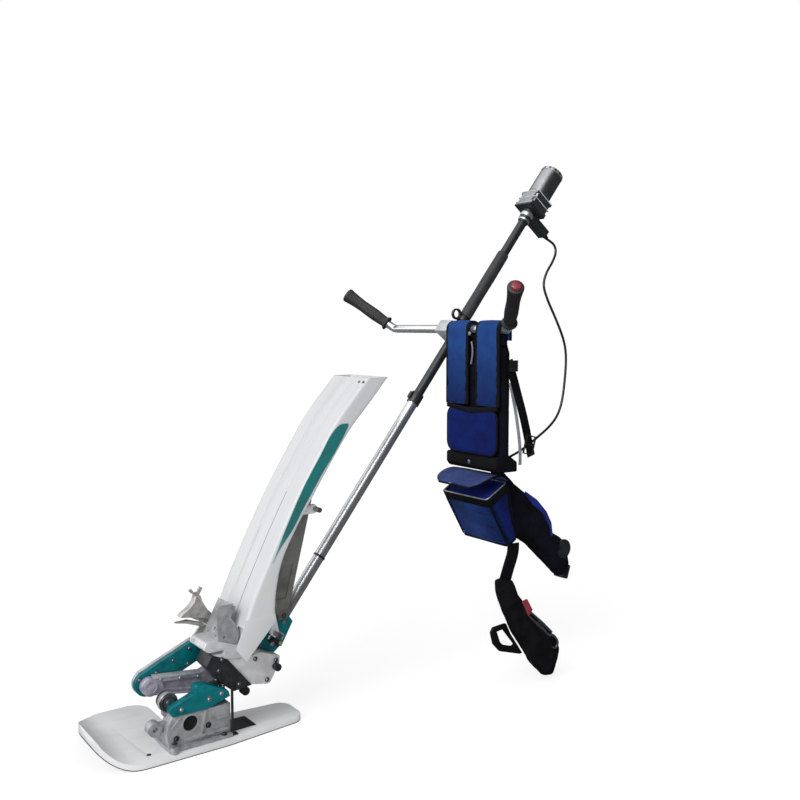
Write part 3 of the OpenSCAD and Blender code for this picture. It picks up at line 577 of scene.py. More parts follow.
def pad(name, outline, place, thick, edge, crown, pitch, seams=(), seam_depth=3.0, wrinkle=0.8,
        wrinkle_size=30, seed=0.0):
    """Stuffed piece over an outline: full in the middle, drawn in at the edge and along its seams.

    outline and seams are in millimetres in the piece's plane, and place turns (u, v, t) in
    millimetres into a point. t runs from -thick/2 to +thick/2.
    """
    loop = resampled(list(outline) + [outline[0]], pitch)[:-1]
    flat = [tuple(p) for p in loop]
    ring = flat + flat[:1]
    count = len(loop)
    points = list(loop)
    u = min(p.x for p in loop) + pitch / 2
    row = 0
    while u < max(p.x for p in loop):
        v = min(p.y for p in loop) + pitch * (0.5 if row % 2 else 1.0)
        while v < max(p.y for p in loop):
            if inside((u, v), flat) and nearest((u, v), ring) > pitch * 0.45:
                points.append(Vector((u, v)))
            v += pitch
        u += pitch
        row += 1
    edges = [(i, (i + 1) % count) for i in range(count)]
    got, _, tris, _, _, _ = delaunay_2d_cdt([p.xy for p in points], edges, [], 1, 1e-4)
    shift = Vector((seed, seed, seed))
    verts, faces = [], []
    for sign in (1, -1):
        base = len(verts)
        for p in got:
            rise = math.sqrt(max(0.0, 1 - (1 - min(nearest(p, ring) / crown, 1)) ** 2))
            half = edge / 2 + (thick - edge) / 2 * rise
            for seam in seams:
                s = nearest(p, seam)
                if s < SEAM_REACH:
                    half -= seam_depth * (1 - s / SEAM_REACH) ** 2
            ripple = noise.noise(Vector((p.x, p.y, 50 * sign)) / wrinkle_size + shift)
            half += wrinkle * rise * ripple
            verts.append(place(p.x, p.y, sign * max(half, edge / 2)))
        for t in tris:
            faces.append(tuple(base + k for k in (t if sign > 0 else t[::-1])))
    tied = {(round(p.x, 3), round(p.y, 3)): i for i, p in enumerate(got) if nearest(p, ring) < 1e-3}
    order = [tied.get((round(p.x, 3), round(p.y, 3))) for p in loop]
    order = [k for k in order if k is not None]
    back = len(got)
    for a, b in zip(order, order[1:] + order[:1]):
        faces.append((a, back + a, back + b, b))
    return build(name, verts, faces, sharp=180)


def tube(name, path, radius, count=10, up=FAR):
    """Round cord or wire along a path, in metres"""
    return sweep(name, path, circle(radius, count), up, sharp=180)


def strap_along(name, path, width, thick, up):
    """Flat strap along a path: thin, with round edges, in metres"""
    return sweep(name, path, round_rect(width, thick, thick * 0.45, 3), up, sharp=60)


def inflated(obj, cap=0.006):
    """Cloth pressure on a closed piece, applied, with no point moved further than the cap"""
    remesh = obj.modifiers.new("remesh", "REMESH")
    remesh.mode = "VOXEL"
    remesh.voxel_size = 0.006
    bake(obj)
    start = [v.co.copy() for v in obj.data.vertices]
    cloth = obj.modifiers.new("cloth", "CLOTH").settings
    cloth.use_pressure = True
    cloth.uniform_pressure_force = 4
    cloth.effector_weights.gravity = 0
    cloth.quality = 5
    cloth.tension_stiffness = 25
    cloth.bending_stiffness = 4
    scene = bpy.context.scene
    for step in range(1, 21):
        scene.frame_set(step)
    bake(obj)
    scene.frame_set(1)
    for v, was in zip(obj.data.vertices, start):
        move = v.co - was
        if move.length > cap:
            v.co = was + move * cap / move.length
    smooth = obj.modifiers.new("subdivision", "SUBSURF")
    smooth.levels = smooth.render_levels = 1
    bake(obj)
    obj.data.shade_smooth()


def bake(obj):
    """Applies the modifiers to the mesh"""
    shape = obj.evaluated_get(bpy.context.evaluated_depsgraph_get())
    mesh = bpy.data.meshes.new_from_object(shape)
    obj.modifiers.clear()
    old = obj.data
    obj.data = mesh
    bpy.data.meshes.remove(old)


# Stage and camera

class TRANSPLANTER_OT_stage(bpy.types.Operator):
    """Camera, floor, world and key light"""
    bl_idname = "transplanter.stage"
    bl_label = "Stage"

    def execute(self, context):
        look = context.scene.transplanter
        data = bpy.data.cameras.new("Camera")
        data.sensor_width, data.lens = SENSOR, SENSOR * FOCAL / PICTURE
        data.clip_start, data.clip_end = 0.05, 60
        camera = linked("Camera", data)
        turn, tilt = math.radians(CAMERA_TURN), math.atan(HORIZON / FOCAL)
        back = Vector((math.sin(turn) * math.cos(tilt), -math.cos(turn) * math.cos(tilt),
                       math.sin(tilt)))
        camera.location = CAMERA_PLACE
        camera.rotation_mode = "QUATERNION"
        camera.rotation_quaternion = (-back).to_track_quat("-Z", "Y")
        context.scene.camera = camera

        corners = ((-1, -1), (1, -1), (1, 1), (-1, 1))
        floor = build("floor", [(x * FLOOR_HALF, y * FLOOR_HALF, FLOOR_HEIGHT) for x, y in corners],
                      [(0, 1, 2, 3)])
        mat = bpy.data.materials.new("PaintedStudioFloor")
        mat.use_nodes = True
        tree = mat.node_tree
        tree.nodes.clear()
        # The camera sees the floor white with the shadow on it, and shiny pieces mirror it dark
        path = add(tree, "LightPath")
        tone = add(tree, "Mix", {"Factor": path.outputs["Is Glossy Ray"], 6: tuple(look.floor),
            7: (FLOOR_MIRRORED,) * 3 + (1,)}, data_type="RGBA")
        plain = add(tree, "BsdfDiffuse", {"Color": tone.outputs[2]})
        soft = add(tree, "BsdfDiffuse", {"Color": (FLOOR_SHADE,) * 3 + (1,)})
        glow = add(tree, "Emission", {"Color": (1, 1, 1, 1), "Strength": FLOOR_GLOW})
        shown = add(tree, "AddShader", {0: soft.outputs[0], 1: glow.outputs[0]})
        mixed = add(tree, "MixShader", {0: path.outputs["Is Camera Ray"], 1: plain.outputs[0],
            2: shown.outputs[0]})
        add(tree, "OutputMaterial", {"Surface": mixed.outputs[0]})
        floor.data.materials.append(mat)

        world = bpy.data.worlds.new("Studio")
        context.scene.world = world
        world.use_nodes = True
        tree = world.node_tree
        tree.nodes.clear()
        # Shiny pieces mirror a room that is bright on the camera's left and dark on its right
        way = add(tree, "TexCoord").outputs["Generated"]
        side = add(tree, "VectorMath", {0: way, 1: ROOM_WAY}, operation="DOT_PRODUCT")
        room = add(tree, "MapRange", {"Value": side.outputs["Value"], "From Min": ROOM_FROM,
            "From Max": ROOM_TO, "To Min": ROOM_DARK, "To Max": ROOM_BRIGHT})
        path = add(tree, "LightPath")
        fill = add(tree, "MapRange", {"Value": path.outputs["Is Glossy Ray"], "To Min": FILL,
            "To Max": room.outputs["Result"]})
        seen = add(tree, "Math", {0: path.outputs["Is Camera Ray"],
            1: path.outputs["Is Transmission Ray"]}, operation="MAXIMUM")
        level = add(tree, "MapRange", {"Value": seen.outputs[0], "To Min": fill.outputs["Result"],
            "To Max": 1.0})
        light = add(tree, "Background", {"Color": (1, 1, 1, 1), "Strength": level.outputs["Result"]})
        add(tree, "OutputWorld", {"Surface": light.outputs[0]})

        key = bpy.data.lights.new("Key", "SUN")
        key.energy, key.angle = look.key, math.radians(KEY_ANGLE)
        sun = linked("Key", key)
        sun.rotation_mode = "QUATERNION"
        sun.rotation_quaternion = Vector(KEY_WAY).to_track_quat("Z", "Y")
        context.scene.view_settings.view_transform = "Standard"
        make_finishes(look)
        return {"FINISHED"}


# Power lead

LEAD_ROUTE = [(1330, 0, 1196), (1352, -4, 1182), (1354, -10, 1160), (1336, -16, 1132),
              (1306, -22, 1098), (1290, -28, 1062), (1300, -35, 1020), (1324, -42, 970),
              (1348, -49, 914), (1355, -55, 866), (1346, -62, 804), (1328, -69, 736),
              (1302, -76, 694), (1262, -83, 664), (1202, -90, 634), (1136, -97, 606),
              (1074, -102, 590), (1036, -104, 592), (1010, -106, 598)]


class TRANSPLANTER_OT_lead(bpy.types.Operator):
    """Power lead from the motor's junction arm to the harness, with its strain relief"""
    bl_idname = "transplanter.lead"
    bl_label = "Power lead"

    def execute(self, context):
        look = context.scene.transplanter
        route = curve_through([at(*p) for p in LEAD_ROUTE], 4)
        data = bpy.data.curves.new("power_lead_jacket", "CURVE")
        data.dimensions = "3D"
        data.bevel_depth, data.bevel_resolution = look.lead / 2, 3
        data.use_fill_caps = True
        line = data.splines.new("POLY")
        line.points.add(len(route) - 1)
        for point, p in zip(line.points, route):
            point.co = (*p, 1)
        obj = linked("power_lead_jacket", data)
        stand_in(obj, "jacket", "power_lead")
        length = sum((b - a).length for a, b in zip(route, route[1:]))
        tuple(route[0])
        place = mast(431) @ Matrix.Translation((0.084, 0, 0)) @ Matrix.Rotation(
            math.radians(90), 4, "Y")
        relief = [(0, 9.0), (3, 9.0), (3.4, 7.4)]
        for k in range(5):
            relief += [(4.2 + k * 2.6, 7.0 - k * 0.5), (5.4 + k * 2.6, 7.0 - k * 0.5),
                       (5.8 + k * 2.6, 5.9 - k * 0.4), (6.6 + k * 2.6, 5.8 - k * 0.4)]
        stand_in(lathe("strain_relief", place, relief + [(18, 4.0)], 24), "rubber", "cable_gland")
        return {"FINISHED"}


# Float

class TRANSPLANTER_OT_float(bpy.types.Operator):
    """Moulded float with its upturned nose, skid sheet and wear plate"""
    bl_idname = "transplanter.float"
    bl_label = "Float"

    def execute(self, context):
        round_nodes([("float_board", "float", 4.5), ("float_skid", "skid", 0.8),
                     ("tail_plate", "plastic", 1.2)])
        dress(lathe("drain_eyelet", Matrix.Translation(at(102, -34, 13.6)),
            [(0, 5.4), (0.9, 5.2), (1.0, 3.4), (0.5, 3.1), (0.5, 0.1)], 24), "rubber", "float_board")
        return {"FINISHED"}


# Gear foot

class TRANSPLANTER_OT_gear_foot(bpy.types.Operator):
    """Gear housing with its cover, seal, ribs, bolts, crank and the cases behind"""
    bl_idname = "transplanter.gear_foot"
    bl_label = "Gear foot"

    def execute(self, context):
        round_nodes([("gear_housing", "casting", 1.6), ("housing_cover", "teal", 2.5),
                     ("drive_case", "dark_casting", 3), ("feed_case", "bright", 4),
                     ("rubber_stop", "rubber", 2), ("feed_knob", "plastic", 2),
                     ("depth_link", "black", 0.8), ("crank", "dark_steel", 0.8)])
        dress(bolts("cover_bolts", heads(NEAR, (238, -50, 112), (268, -50, 118), (172, -50, 104)),
            4.2, 4), "zinc", "link_pin")
        places = heads(UP, (150, -62, 36), (160, 30, 22), (278, 30, 22), (272, -54, 22))
        places += heads(NEAR, (236, -48, 52), (160, -48, 40))
        dress(bolts("foot_bolts", places, 5, 5), "dark_steel", "crank", "chassis")
        ribs = (([(212, 24), (218, 24), (232, 88), (227, 88)], -52),
                ([(246, 28), (284, 28), (284, 32), (246, 32)], -53),
                ([(150, 62), (172, 84), (169, 87), (147, 66)], -51),
                ([(252, 60), (286, 60), (286, 64), (252, 64)], -51))
        dress(joined("housing_ribs", [slab("rib", outline, y, -47.5) for outline, y in ribs]),
            "casting", "gear_housing")
        dress(lathe("seal_ring", turned(at(193, -48, 67)), [(0, 22), (1.6, 21.6), (2.2, 20),
            (2.2, 17.8), (-5.4, 17.7)], cap=False), "casting", "gear_housing")
        stand_in(lathe("seal_lip", turned(at(193, -42, 67)), [(-0.4, 17.4), (2.8, 17.4), (2.9, 13),
            (1.6, 11), (1.4, 6), (2.2, 4), (2.2, 0.1)], 40), "rubber", "bearing_seal")
        dress(lathe("crank_hub", turned(at(154, -24, 114)), [(0, 12.6), (2, 12.4), (2.2, 9), (6, 8.4),
            (7, 7), (7, 4), (5, 3.6), (5, 0.1)], 36), "steel", "crank")
        dress(joined("bearing_rings",
            [lathe("ring", turned(at(154, -20, 114)), [(0, r + 2.2), (0.9, r + 1.6), (0.9, r - 0.4),
            (0, r - 0.8)], 40) for r in (19.4, 15.2)]), "steel", "gear_housing")
        spring_path = [at(276 + 7 * math.cos(t * 0.9), -34 + 7 * math.sin(t * 0.9), 97 + t * 0.55)
                       for t in range(60)]
        dress(tube("return_spring", spring_path, 0.0013, 8, UP), "steel", "link_pin")
        dress(bolts("case_bolts", heads(NEAR, (262, -50, 172), (312, -50, 130), (270, -50, 196),
            (356, -46, 178), (386, -46, 122), (410, -46, 164)), 4.2, 4), "steel", "link_pin")
        return {"FINISHED"}


# Planting arm

class TRANSPLANTER_OT_planting_arm(bpy.types.Operator):
    """Swinging link, planting arm and the claw on its end"""
    bl_idname = "transplanter.planting_arm"
    bl_label = "Planting arm"

    def execute(self, context):
        round_nodes([("swing_link", "link", 1.6), ("link_pin", "steel", 0.6),
            ("arm_pin", "steel", 0.6), ("arm_case", "arm", 2.0), ("arm_cover", "teal", 2.2),
            ("claw_bracket", "claw", 0.8), ("claw_hood", "claw", 0.6), ("claw_fork", "claw", 0.8),
            ("claw_blade", "claw", 0.8)])
        dress(bolts("arm_screws", [(at(x, 38, z), NEAR) for x, z in ((110, 158), (150, 166),
            (190, 186), (230, 206), (260, 188), (226, 171), (186, 153), (146, 128))], 3.6, 3.4),
            "steel", "arm_pin", "planting_arm")
        dress(lathe("link_boss", turned(at(284, 13, 146)), [(0, 15), (2, 14.6), (2.4, 12), (4, 11.6),
            (4.4, 8.3)], 32), "steel", "swing_link")
        dress(lathe("knee_cap", turned(at(128, 13, 143)), [(0, 17), (1.6, 16.4), (2, 12), (1, 11),
            (1, 0.1)], 32), "link", "swing_link")
        ribs = (([(136, 162), (250, 150), (250, 154), (136, 166)], 11.2, 34.5),
                ([(140, 124), (222, 110), (222, 114), (140, 128)], 11.6, 34))
        dress(joined("link_ribs", [slab("rib", *rib) for rib in ribs]), "arm", "swing_link")
        dress(bolts("link_screws", heads(NEAR, (150, 13, 158), (196, 13, 152), (240, 13, 146)), 3.6,
            3.6), "zinc", "arm_pin")
        return {"FINISHED"}


# Seedling tray

TRAY_FRONT = [(650, 822), (604, 772), (560, 720), (507, 640), (456, 558), (410, 475), (372, 400),
              (338, 330), (312, 266)]
TRAY_BACK = [(713, 822), (655, 757), (600, 697), (545, 620), (494, 543), (450, 475), (415, 409),
             (398, 340), (393, 270)]
BAND_FRONT = [(592, 715), (567, 712), (541, 686), (517.5, 648), (487.5, 603), (465, 566), (442, 523),
              (413.5, 466), (387, 408)]
BAND_BACK = [(594, 711), (577, 681), (547, 637), (523, 606), (490, 557), (466, 521), (439, 478),
             (406, 437), (386, 406)]


class TRANSPLANTER_OT_tray(bpy.types.Operator):
    """Curved seedling tray with its grooves, teal band, foot, gate, strut and guide rods"""
    bl_idname = "transplanter.tray"
    bl_label = "Seedling tray"

    def section(self, front, back, inset):
        """Closed ring round the chute at one height; inset is 0 outside and the wall inside"""
        across = (back - front).normalized()
        deep = (back - front).length - 2 * inset
        start = front + across * inset
        ring = [(a, b + deep / 2)
                for a, b in round_rect(2 * (TRAY_HALF - inset), deep, 9 - inset * 0.6, 5)]
        out = []
        for y, d, _, _ in divided(ring, lambda wide, high: 64 if wide > 60 else 4 if high > 8 else 1):
            if d < 1.0:
                for groove in (33, -21):
                    d += 1.3 * max(0.0, 1 - abs(y - groove) / 3.0)
                d -= 1.6 * math.exp(-((y - 6) / 16) ** 2)
            p = start + across * d
            out.append(at(p.x, y, p.y))
        return out

    def execute(self, context):
        front = curve_through([Vector(p) for p in TRAY_FRONT], 6)
        back = curve_through([Vector(p) for p in TRAY_BACK], 6)
        outer = [self.section(f, b, 0) for f, b in zip(front, back)]
        inner = [self.section(f, b, TRAY_WALL) for f, b in zip(front, back)]
        count = len(outer[0])
        verts = [p for ring in outer + inner for p in ring]
        size = len(outer) * count
        faces = []
        for i in range(len(outer) - 1):
            for k in range(count):
                a, b = i * count + k, i * count + (k + 1) % count
                faces.append((a, b, b + count, a + count))
                faces.append((size + a, size + a + count, size + b + count, size + b))
        for i in (0, len(outer) - 1):
            for k in range(count):
                a, b = i * count + k, i * count + (k + 1) % count
                faces.append((a, size + a, size + b, b))
        shell = build("tray_shell", verts, faces, sharp=50)
        upper = [(476, 520), (508, 527), (519, 516), (508, 505), (467, 505)]
        lower = [(391, 274), (396, 300), (409, 236), (398, 225), (387, 236)]
        lugs = [slab("lug", outline, y - 6, y + 6, 1.5) for y in (-60, 60)
            for outline in (upper, lower)]
        boot = slab("boot", [(315, 284), (311, 266), (292, 222), (317, 189), (356, 232), (393, 270),
            (391, 288)], -80.4, -77, 0.6)
        lip = slab("lip", [(312, 268), (316, 271), (321, 264), (321, 223.5), (318.4, 223.5),
            (318.4, 262), (312, 265)], -79, -34, 0.5)
        stand_in(joined("tray_moulding", [shell, boot, lip] + lugs), "tray", "seedling_tray")

        left = curve_through([Vector(p) for p in BAND_FRONT], 6)
        right = curve_through([Vector(p) for p in BAND_BACK], 6)
        verts, faces = [], []
        for side in (-80.9, -79.9):
            for a, b in zip(left, right):
                verts += [at(a.x, side, a.y), at(b.x, side, b.y)]
        n = len(left)
        for i in range(n - 1):
            for base in (0, 2 * n):
                faces.append((base + 2 * i, base + 2 * i + 1, base + 2 * i + 3, base + 2 * i + 2))
            for k in (0, 1):
                faces.append((2 * i + k, 2 * i + 2 + k, 2 * n + 2 * i + 2 + k, 2 * n + 2 * i + k))
        stand_in(build("teal_crescent", verts, faces, sharp=30), "tray_teal", "tray_stripe")
        # Thin grey lines along the front's grooves: painted shade
        dress(joined("tray_groove_shade_lines",
            [tube("groove", [at(p.x - 0.2, y, p.y - 0.2) for p in front[top:foot]], 0.0008, 8)
            for y, top, foot in ((-24, 24, 47), (21, 30, 42))]), "groove", "seedling_tray")
        dress(bolts("tray_rivets", [(at(641, y, 812), (-0.75, 0, 0.66)) for y in (-56, -74)], 2.6,
            1.6, 16), "dark_steel", "tray_stripe")

        round_nodes([("tray_foot", "bright", 3), ("tray_gate", "casting", 0.8),
                     ("support_strut", "plate", 1.2), ("upper_guide_rod", "steel", 0.8),
                     ("lower_guide_rod", "steel", 0.8)])
        dress(slab("strut_web", [(418, 298), (451, 298), (472, 382), (439, 382)], -22.5, -19.5, 0.4),
            "plate", "support_strut")
        dress(bolts("gate_screws", heads((-0.9, 0, 0.4), (268, -30, 246), (268, 12, 246)), 3.2, 3),
            "dark_steel", "crank", "chassis")
        dress(bolts("strut_bolts", heads(NEAR, (424, -25, 257), (444, -25, 258), (508, -25, 516)),
            4.4, 4.4), "steel", "link_pin")
        return {"FINISHED"}


# Mast

class TRANSPLANTER_OT_mast(bpy.types.Operator):
    """Two mast tubes with bracket, clamp, collar, foam sleeve and hanging eye"""
    bl_idname = "transplanter.mast"
    bl_label = "Mast"

    def execute(self, context):
        round_nodes([("rear_bracket", "teal", 2.2), ("clamp_lever", "dark_steel", 1.2),
                     ("mast_collar", "plastic", 1.2), ("handlebar_clamp", "arm", 3),
                     ("hanger_ring", "plastic", 1.5)])
        stand_in(lathe("lower_tube", mast(0), [(-884, 12), (-884, 14), (-210.6, 14), (-210, 13.4),
            (-210, 12)], 40), "zinc", "lower_mast")
        stand_in(lathe("upper_tube", mast(0), [(-210, 10.5), (-210, 12.5), (436, 12.5), (436, 10.5)],
            40), "black", "upper_mast")
        sleeve = lathe("sleeve_foam", mast(0), [(62, 12.7), (62, 15), (63.5, 16.2), (80, 16.6),
            (140, 16.3), (200, 16.7), (270, 16.4), (284, 16.2), (287, 15), (288, 12.7)], 40)
        shaken(sleeve, 0.5, 26)
        stand_in(sleeve, "foam", "foam_sleeve")
        dress(joined("tube_rings",
            [lathe("ring", mast(z), [(0, r), (0, r + 1.6), (4, r + 1.8), (5, r + 1.2), (5, r)], 32)
            for z, r in ((-872, 14), (-690, 14), (-196, 12.6), (402, 12.6))]), "dark_steel",
            "mast_collar")
        dress(tube("latch_wire", curve_through([at(396, -36, 214), at(404, -39, 226),
            at(420, -40, 228), at(434, -39, 218), at(430, -37, 206)], 5), 0.0022, 10), "chrome",
            "clamp_lever")
        dress(bolts("latch_pins", heads(NEAR, (404, -40, 202), (426, -40, 200), (416, -25, 216),
            (448, -17, 240)), 4, 4), "zinc", "link_pin")
        dress(bolts("clamp_screws", [(mast(z, -4, -24) @ Vector(), NEAR) for z in (-11, 11)], 3.6, 4),
            "steel", "link_pin")
        return {"FINISHED"}


# Handlebar

class TRANSPLANTER_OT_handlebar(bpy.types.Operator):
    """Bent tube with its two ribbed grips and the push button"""
    bl_idname = "transplanter.handlebar"
    bl_label = "Handlebar and grips"

    def execute(self, context):
        look = context.scene.transplanter
        run = BAR_BEND * math.tan(math.radians(GRIP_ANGLE / 2))
        path = []
        for side in (-1, 1):
            half = [bar(side) @ Vector((x / 1000, 0, 0)) for x in (0, 60, 120, 180, BAR_HALF - run)]
            half += [bar(side) @ Vector(((BAR_HALF - run + BAR_BEND * math.sin(math.radians(a))) / 1000,
                                         0, BAR_BEND * (1 - math.cos(math.radians(a))) / 1000))
                     for a in range(6, GRIP_ANGLE + 1, 6)]
            half.append(grip(side) @ Vector((0, 0, (GRIP_LENGTH + 13) / 1000)))
            path = half[::-1] if side < 0 else path + half[1:]
        level = Matrix.Rotation(math.radians(-BAR_TILT), 3, "Y") @ Vector(BACK)
        stand_in(sweep("bent_tube", path, circle(0.011, 32), level, sharp=60), "chrome", "handlebar")
        steps = [(0, 11.2), (0, 18.5), (1, 19.8), (4, 20), (5.5, 18.6), (9, 15), (12, 14.6),
                 (22, 15.4), (46, 16.8), (70, 16.4), (92, 15.8), (116, 17), (138, 19), (142, 19.8)]
        steps += [(GRIP_LENGTH + h, r) for h, r in ((-3, 20), (-0.8, 19.6), (0, 18.6), (0, 10),
            (-1, 9.4), (-1, 0.1))]
        for side, name in ((1, "left"), (-1, "right")):
            place = grip(side) @ Matrix.Translation((0, 0, 0.026))
            stand_in(lathe(name + "_grip_rubber", place, steps, look.ribs * 6, look.ribs, 0.45, 60),
                "grip", "grip_" + name)
        dress(box_piece("switch_case", place, (-9, 11, 24), (9, 23.5, 46), 4), "plastic", "grip_right")
        stand_in(lathe("push_button", place, [(GRIP_LENGTH + h, r) for h, r in ((0, 11), (0.4, 12),
            (4, 12), (6.6, 10.6), (7.8, 7), (8, 0.1))], 36), "red", "grip_button")
        return {"FINISHED"}


# Motor

class TRANSPLANTER_OT_motor(bpy.types.Operator):
    """Motor, reduction gearbox, bracket and their bolts"""
    bl_idname = "transplanter.motor"
    bl_label = "Motor"

    def execute(self, context):
        round_nodes([("motor_bracket", "black", 1.2), ("reduction_gearbox", "motor", 1.6)])
        stand_in(lathe("motor_can", mast(0), [(493, 31), (493, 33), (497, 33), (497.6, 31.8),
            (500, 31.8), (500.6, 33), (574, 33), (574.6, 31.8), (577, 31.8), (579, 31.8), (579, 20)],
            64), "motor", "motor")
        stand_in(lathe("motor_end_bell", mast(0), [(579, 20), (579, 33), (586, 33), (589, 32.2),
            (590, 30), (590.4, 26.8), (593, 26.4), (593, 22), (591.6, 20), (591.6, 8), (592.6, 7),
            (592.6, 0.1)], 64), "end_bell", "motor_cap")
        along = (mast(1) @ Vector() - mast(0) @ Vector()).normalized()
        dress(joined("motor_vents",
            [box_piece("vent", mast(583) @ Matrix.Rotation(k * math.tau / 12, 4, "Z"), (32.2, -3, -2),
            (33.5, 3, 4), 0.5) for k in range(12)]), "plastic", "motor")
        dress(bolts("end_bell_bolts", [(mast(589, x, y) @ Vector(), along)
            for x, y in ((24, 0), (-12, 21), (-12, -21))], 3.2, 3.6), "steel", "link_pin")
        dress(joined("gearbox_seams",
            [box_piece("plate", mast(z), (-33.8, -33.8, 0), (33.8, 33.8, thick), 0.5)
            for z, thick in ((469, 2.0), (491, 2.2))]), "bright", "motor_cap")
        dress(lathe("output_collar", mast(0), [(406, 12.6), (406, 16.5), (409, 17.2), (420, 17.2),
            (424, 19), (432, 19), (434, 18)], 40), "zinc", "link_pin")
        return {"FINISHED"}


# Harness

def side_place(y):
    """Places a plate that is drawn from the near side: (x, z, thickness) about one y"""
    return lambda u, v, t: at(u, y - t, v)


def back_place(x):
    """Places a plate that is drawn from the front: (y, z, thickness) about one x"""
    return lambda u, v, t: at(x - t, u, v)


def dashes(name, path, out, length=4.0, gap=3.0, radius=0.45):
    """Row of stitches along a line of points, lifted a little along out"""
    out = Vector(out)
    line = resampled(path, (length + gap) / 1000)
    parts = []
    for a, b in zip(line, line[1:]):
        step = (b - a).normalized() * length / 1000
        rise = out * radius / 1000
        across = out if abs(step.normalized().dot(out)) < 0.9 else UP
        parts.append(tube("stitch", [a, a + rise + step * 0.2, a + rise + step * 0.8, a + step],
            radius / 1000, 6, across))
    return joined(name, parts)


def buckle(name, place, width, length, thick=5, rail=3.2):
    """Ladder lock: a frame with a bar across it, from rounded boxes"""
    w, h, t = width / 2, length / 2, thick / 2
    parts = [box_piece("rail", place, (x, -h, -t), (x + rail, h, t), 1) for x in (-w, w - rail)]
    for y in (-h, -rail / 2, h - rail):
        parts.append(box_piece("cross", place, (-w, y, -t), (w, y + rail, t * 1.2), 1))
    return joined(name, parts)


class TRANSPLANTER_OT_straps(bpy.types.Operator):
    """Two padded shoulder straps over the handlebar, bound along their edges"""
    bl_idname = "transplanter.straps"
    bl_label = "Shoulder straps"

    def section(self, p, out, width, middle, seed):
        """Ring round a strap at a point of its path: quilted, and creased where it hangs slack"""
        slack = min(max((850 - p.z) / 50, 0), 1)
        ring = []
        for u, w, _, _ in divided(round_rect(width, 10.4, 5, 4),
                                  lambda wide, high: 14 if wide > 20 else 1):
            free = 1 - (2 * u / width) ** 4
            quilt = 0.8 * noise.noise(Vector((u / 13, p.z / 9, seed)))
            crease = 3.2 * slack * noise.noise(Vector((seed + u / 45, (p.z + u) / 14, 0)))
            lift = (1.2 + crease + quilt) * free - 0.6 if w > 0 else 0
            ring.append(at(p.x, middle + u, p.z) + out * (w + lift) / 1000)
        return ring

    def execute(self, context):
        bend = 17.5
        path = [Vector((HOLD_BACK - bend, 0, z)) for z in range(746, 936, 7)]
        for a in range(180, -1, -15):
            path.append(Vector((HOLD_BACK + bend * math.cos(math.radians(a)), 0,
                HOLD_HEIGHT + bend * math.sin(math.radians(a)))))
        path += [Vector((HOLD_BACK + bend, 0, z)) for z in range(932, 904, -7)]
        hem = [(b, a) for a, b in round_rect(0.0125, 0.0062, 0.003, 4)]
        for name, y0, y1, seed in (("far", -110, -26, 2.0), ("near", -228, -144, 7.0)):
            node = "shoulder_strap_" + name
            rings, edges = [], ([], [])
            for i, p in enumerate(path):
                ahead = (path[min(i + 1, len(path) - 1)] - path[max(i - 1, 0)]).normalized()
                out = Vector(FAR).cross(ahead) * -1
                rings.append(self.section(p, out, y1 - y0, (y0 + y1) / 2, seed))
                for edge, y in zip(edges, (y0 + 3.2, y1 - 3.2)):
                    edge.append(at(p.x, y, p.z) + out * 0.002)
            cushion(loft("strap_pad_" + name, rings, sharp=80), "blue_cloth", node)
            dress(joined("strap_binding_" + name, [sweep("edge", edge, hem, sharp=60)
                for edge in edges]), "webbing", node)
            dress(joined("strap_seam_" + name, [dashes("seam", [at(941.4, y, 748), at(941.4, y, 928)],
                (-1, 0, 0)) for y in (y0 + 9, y1 - 9)]), "thread", node)
        return {"FINISHED"}


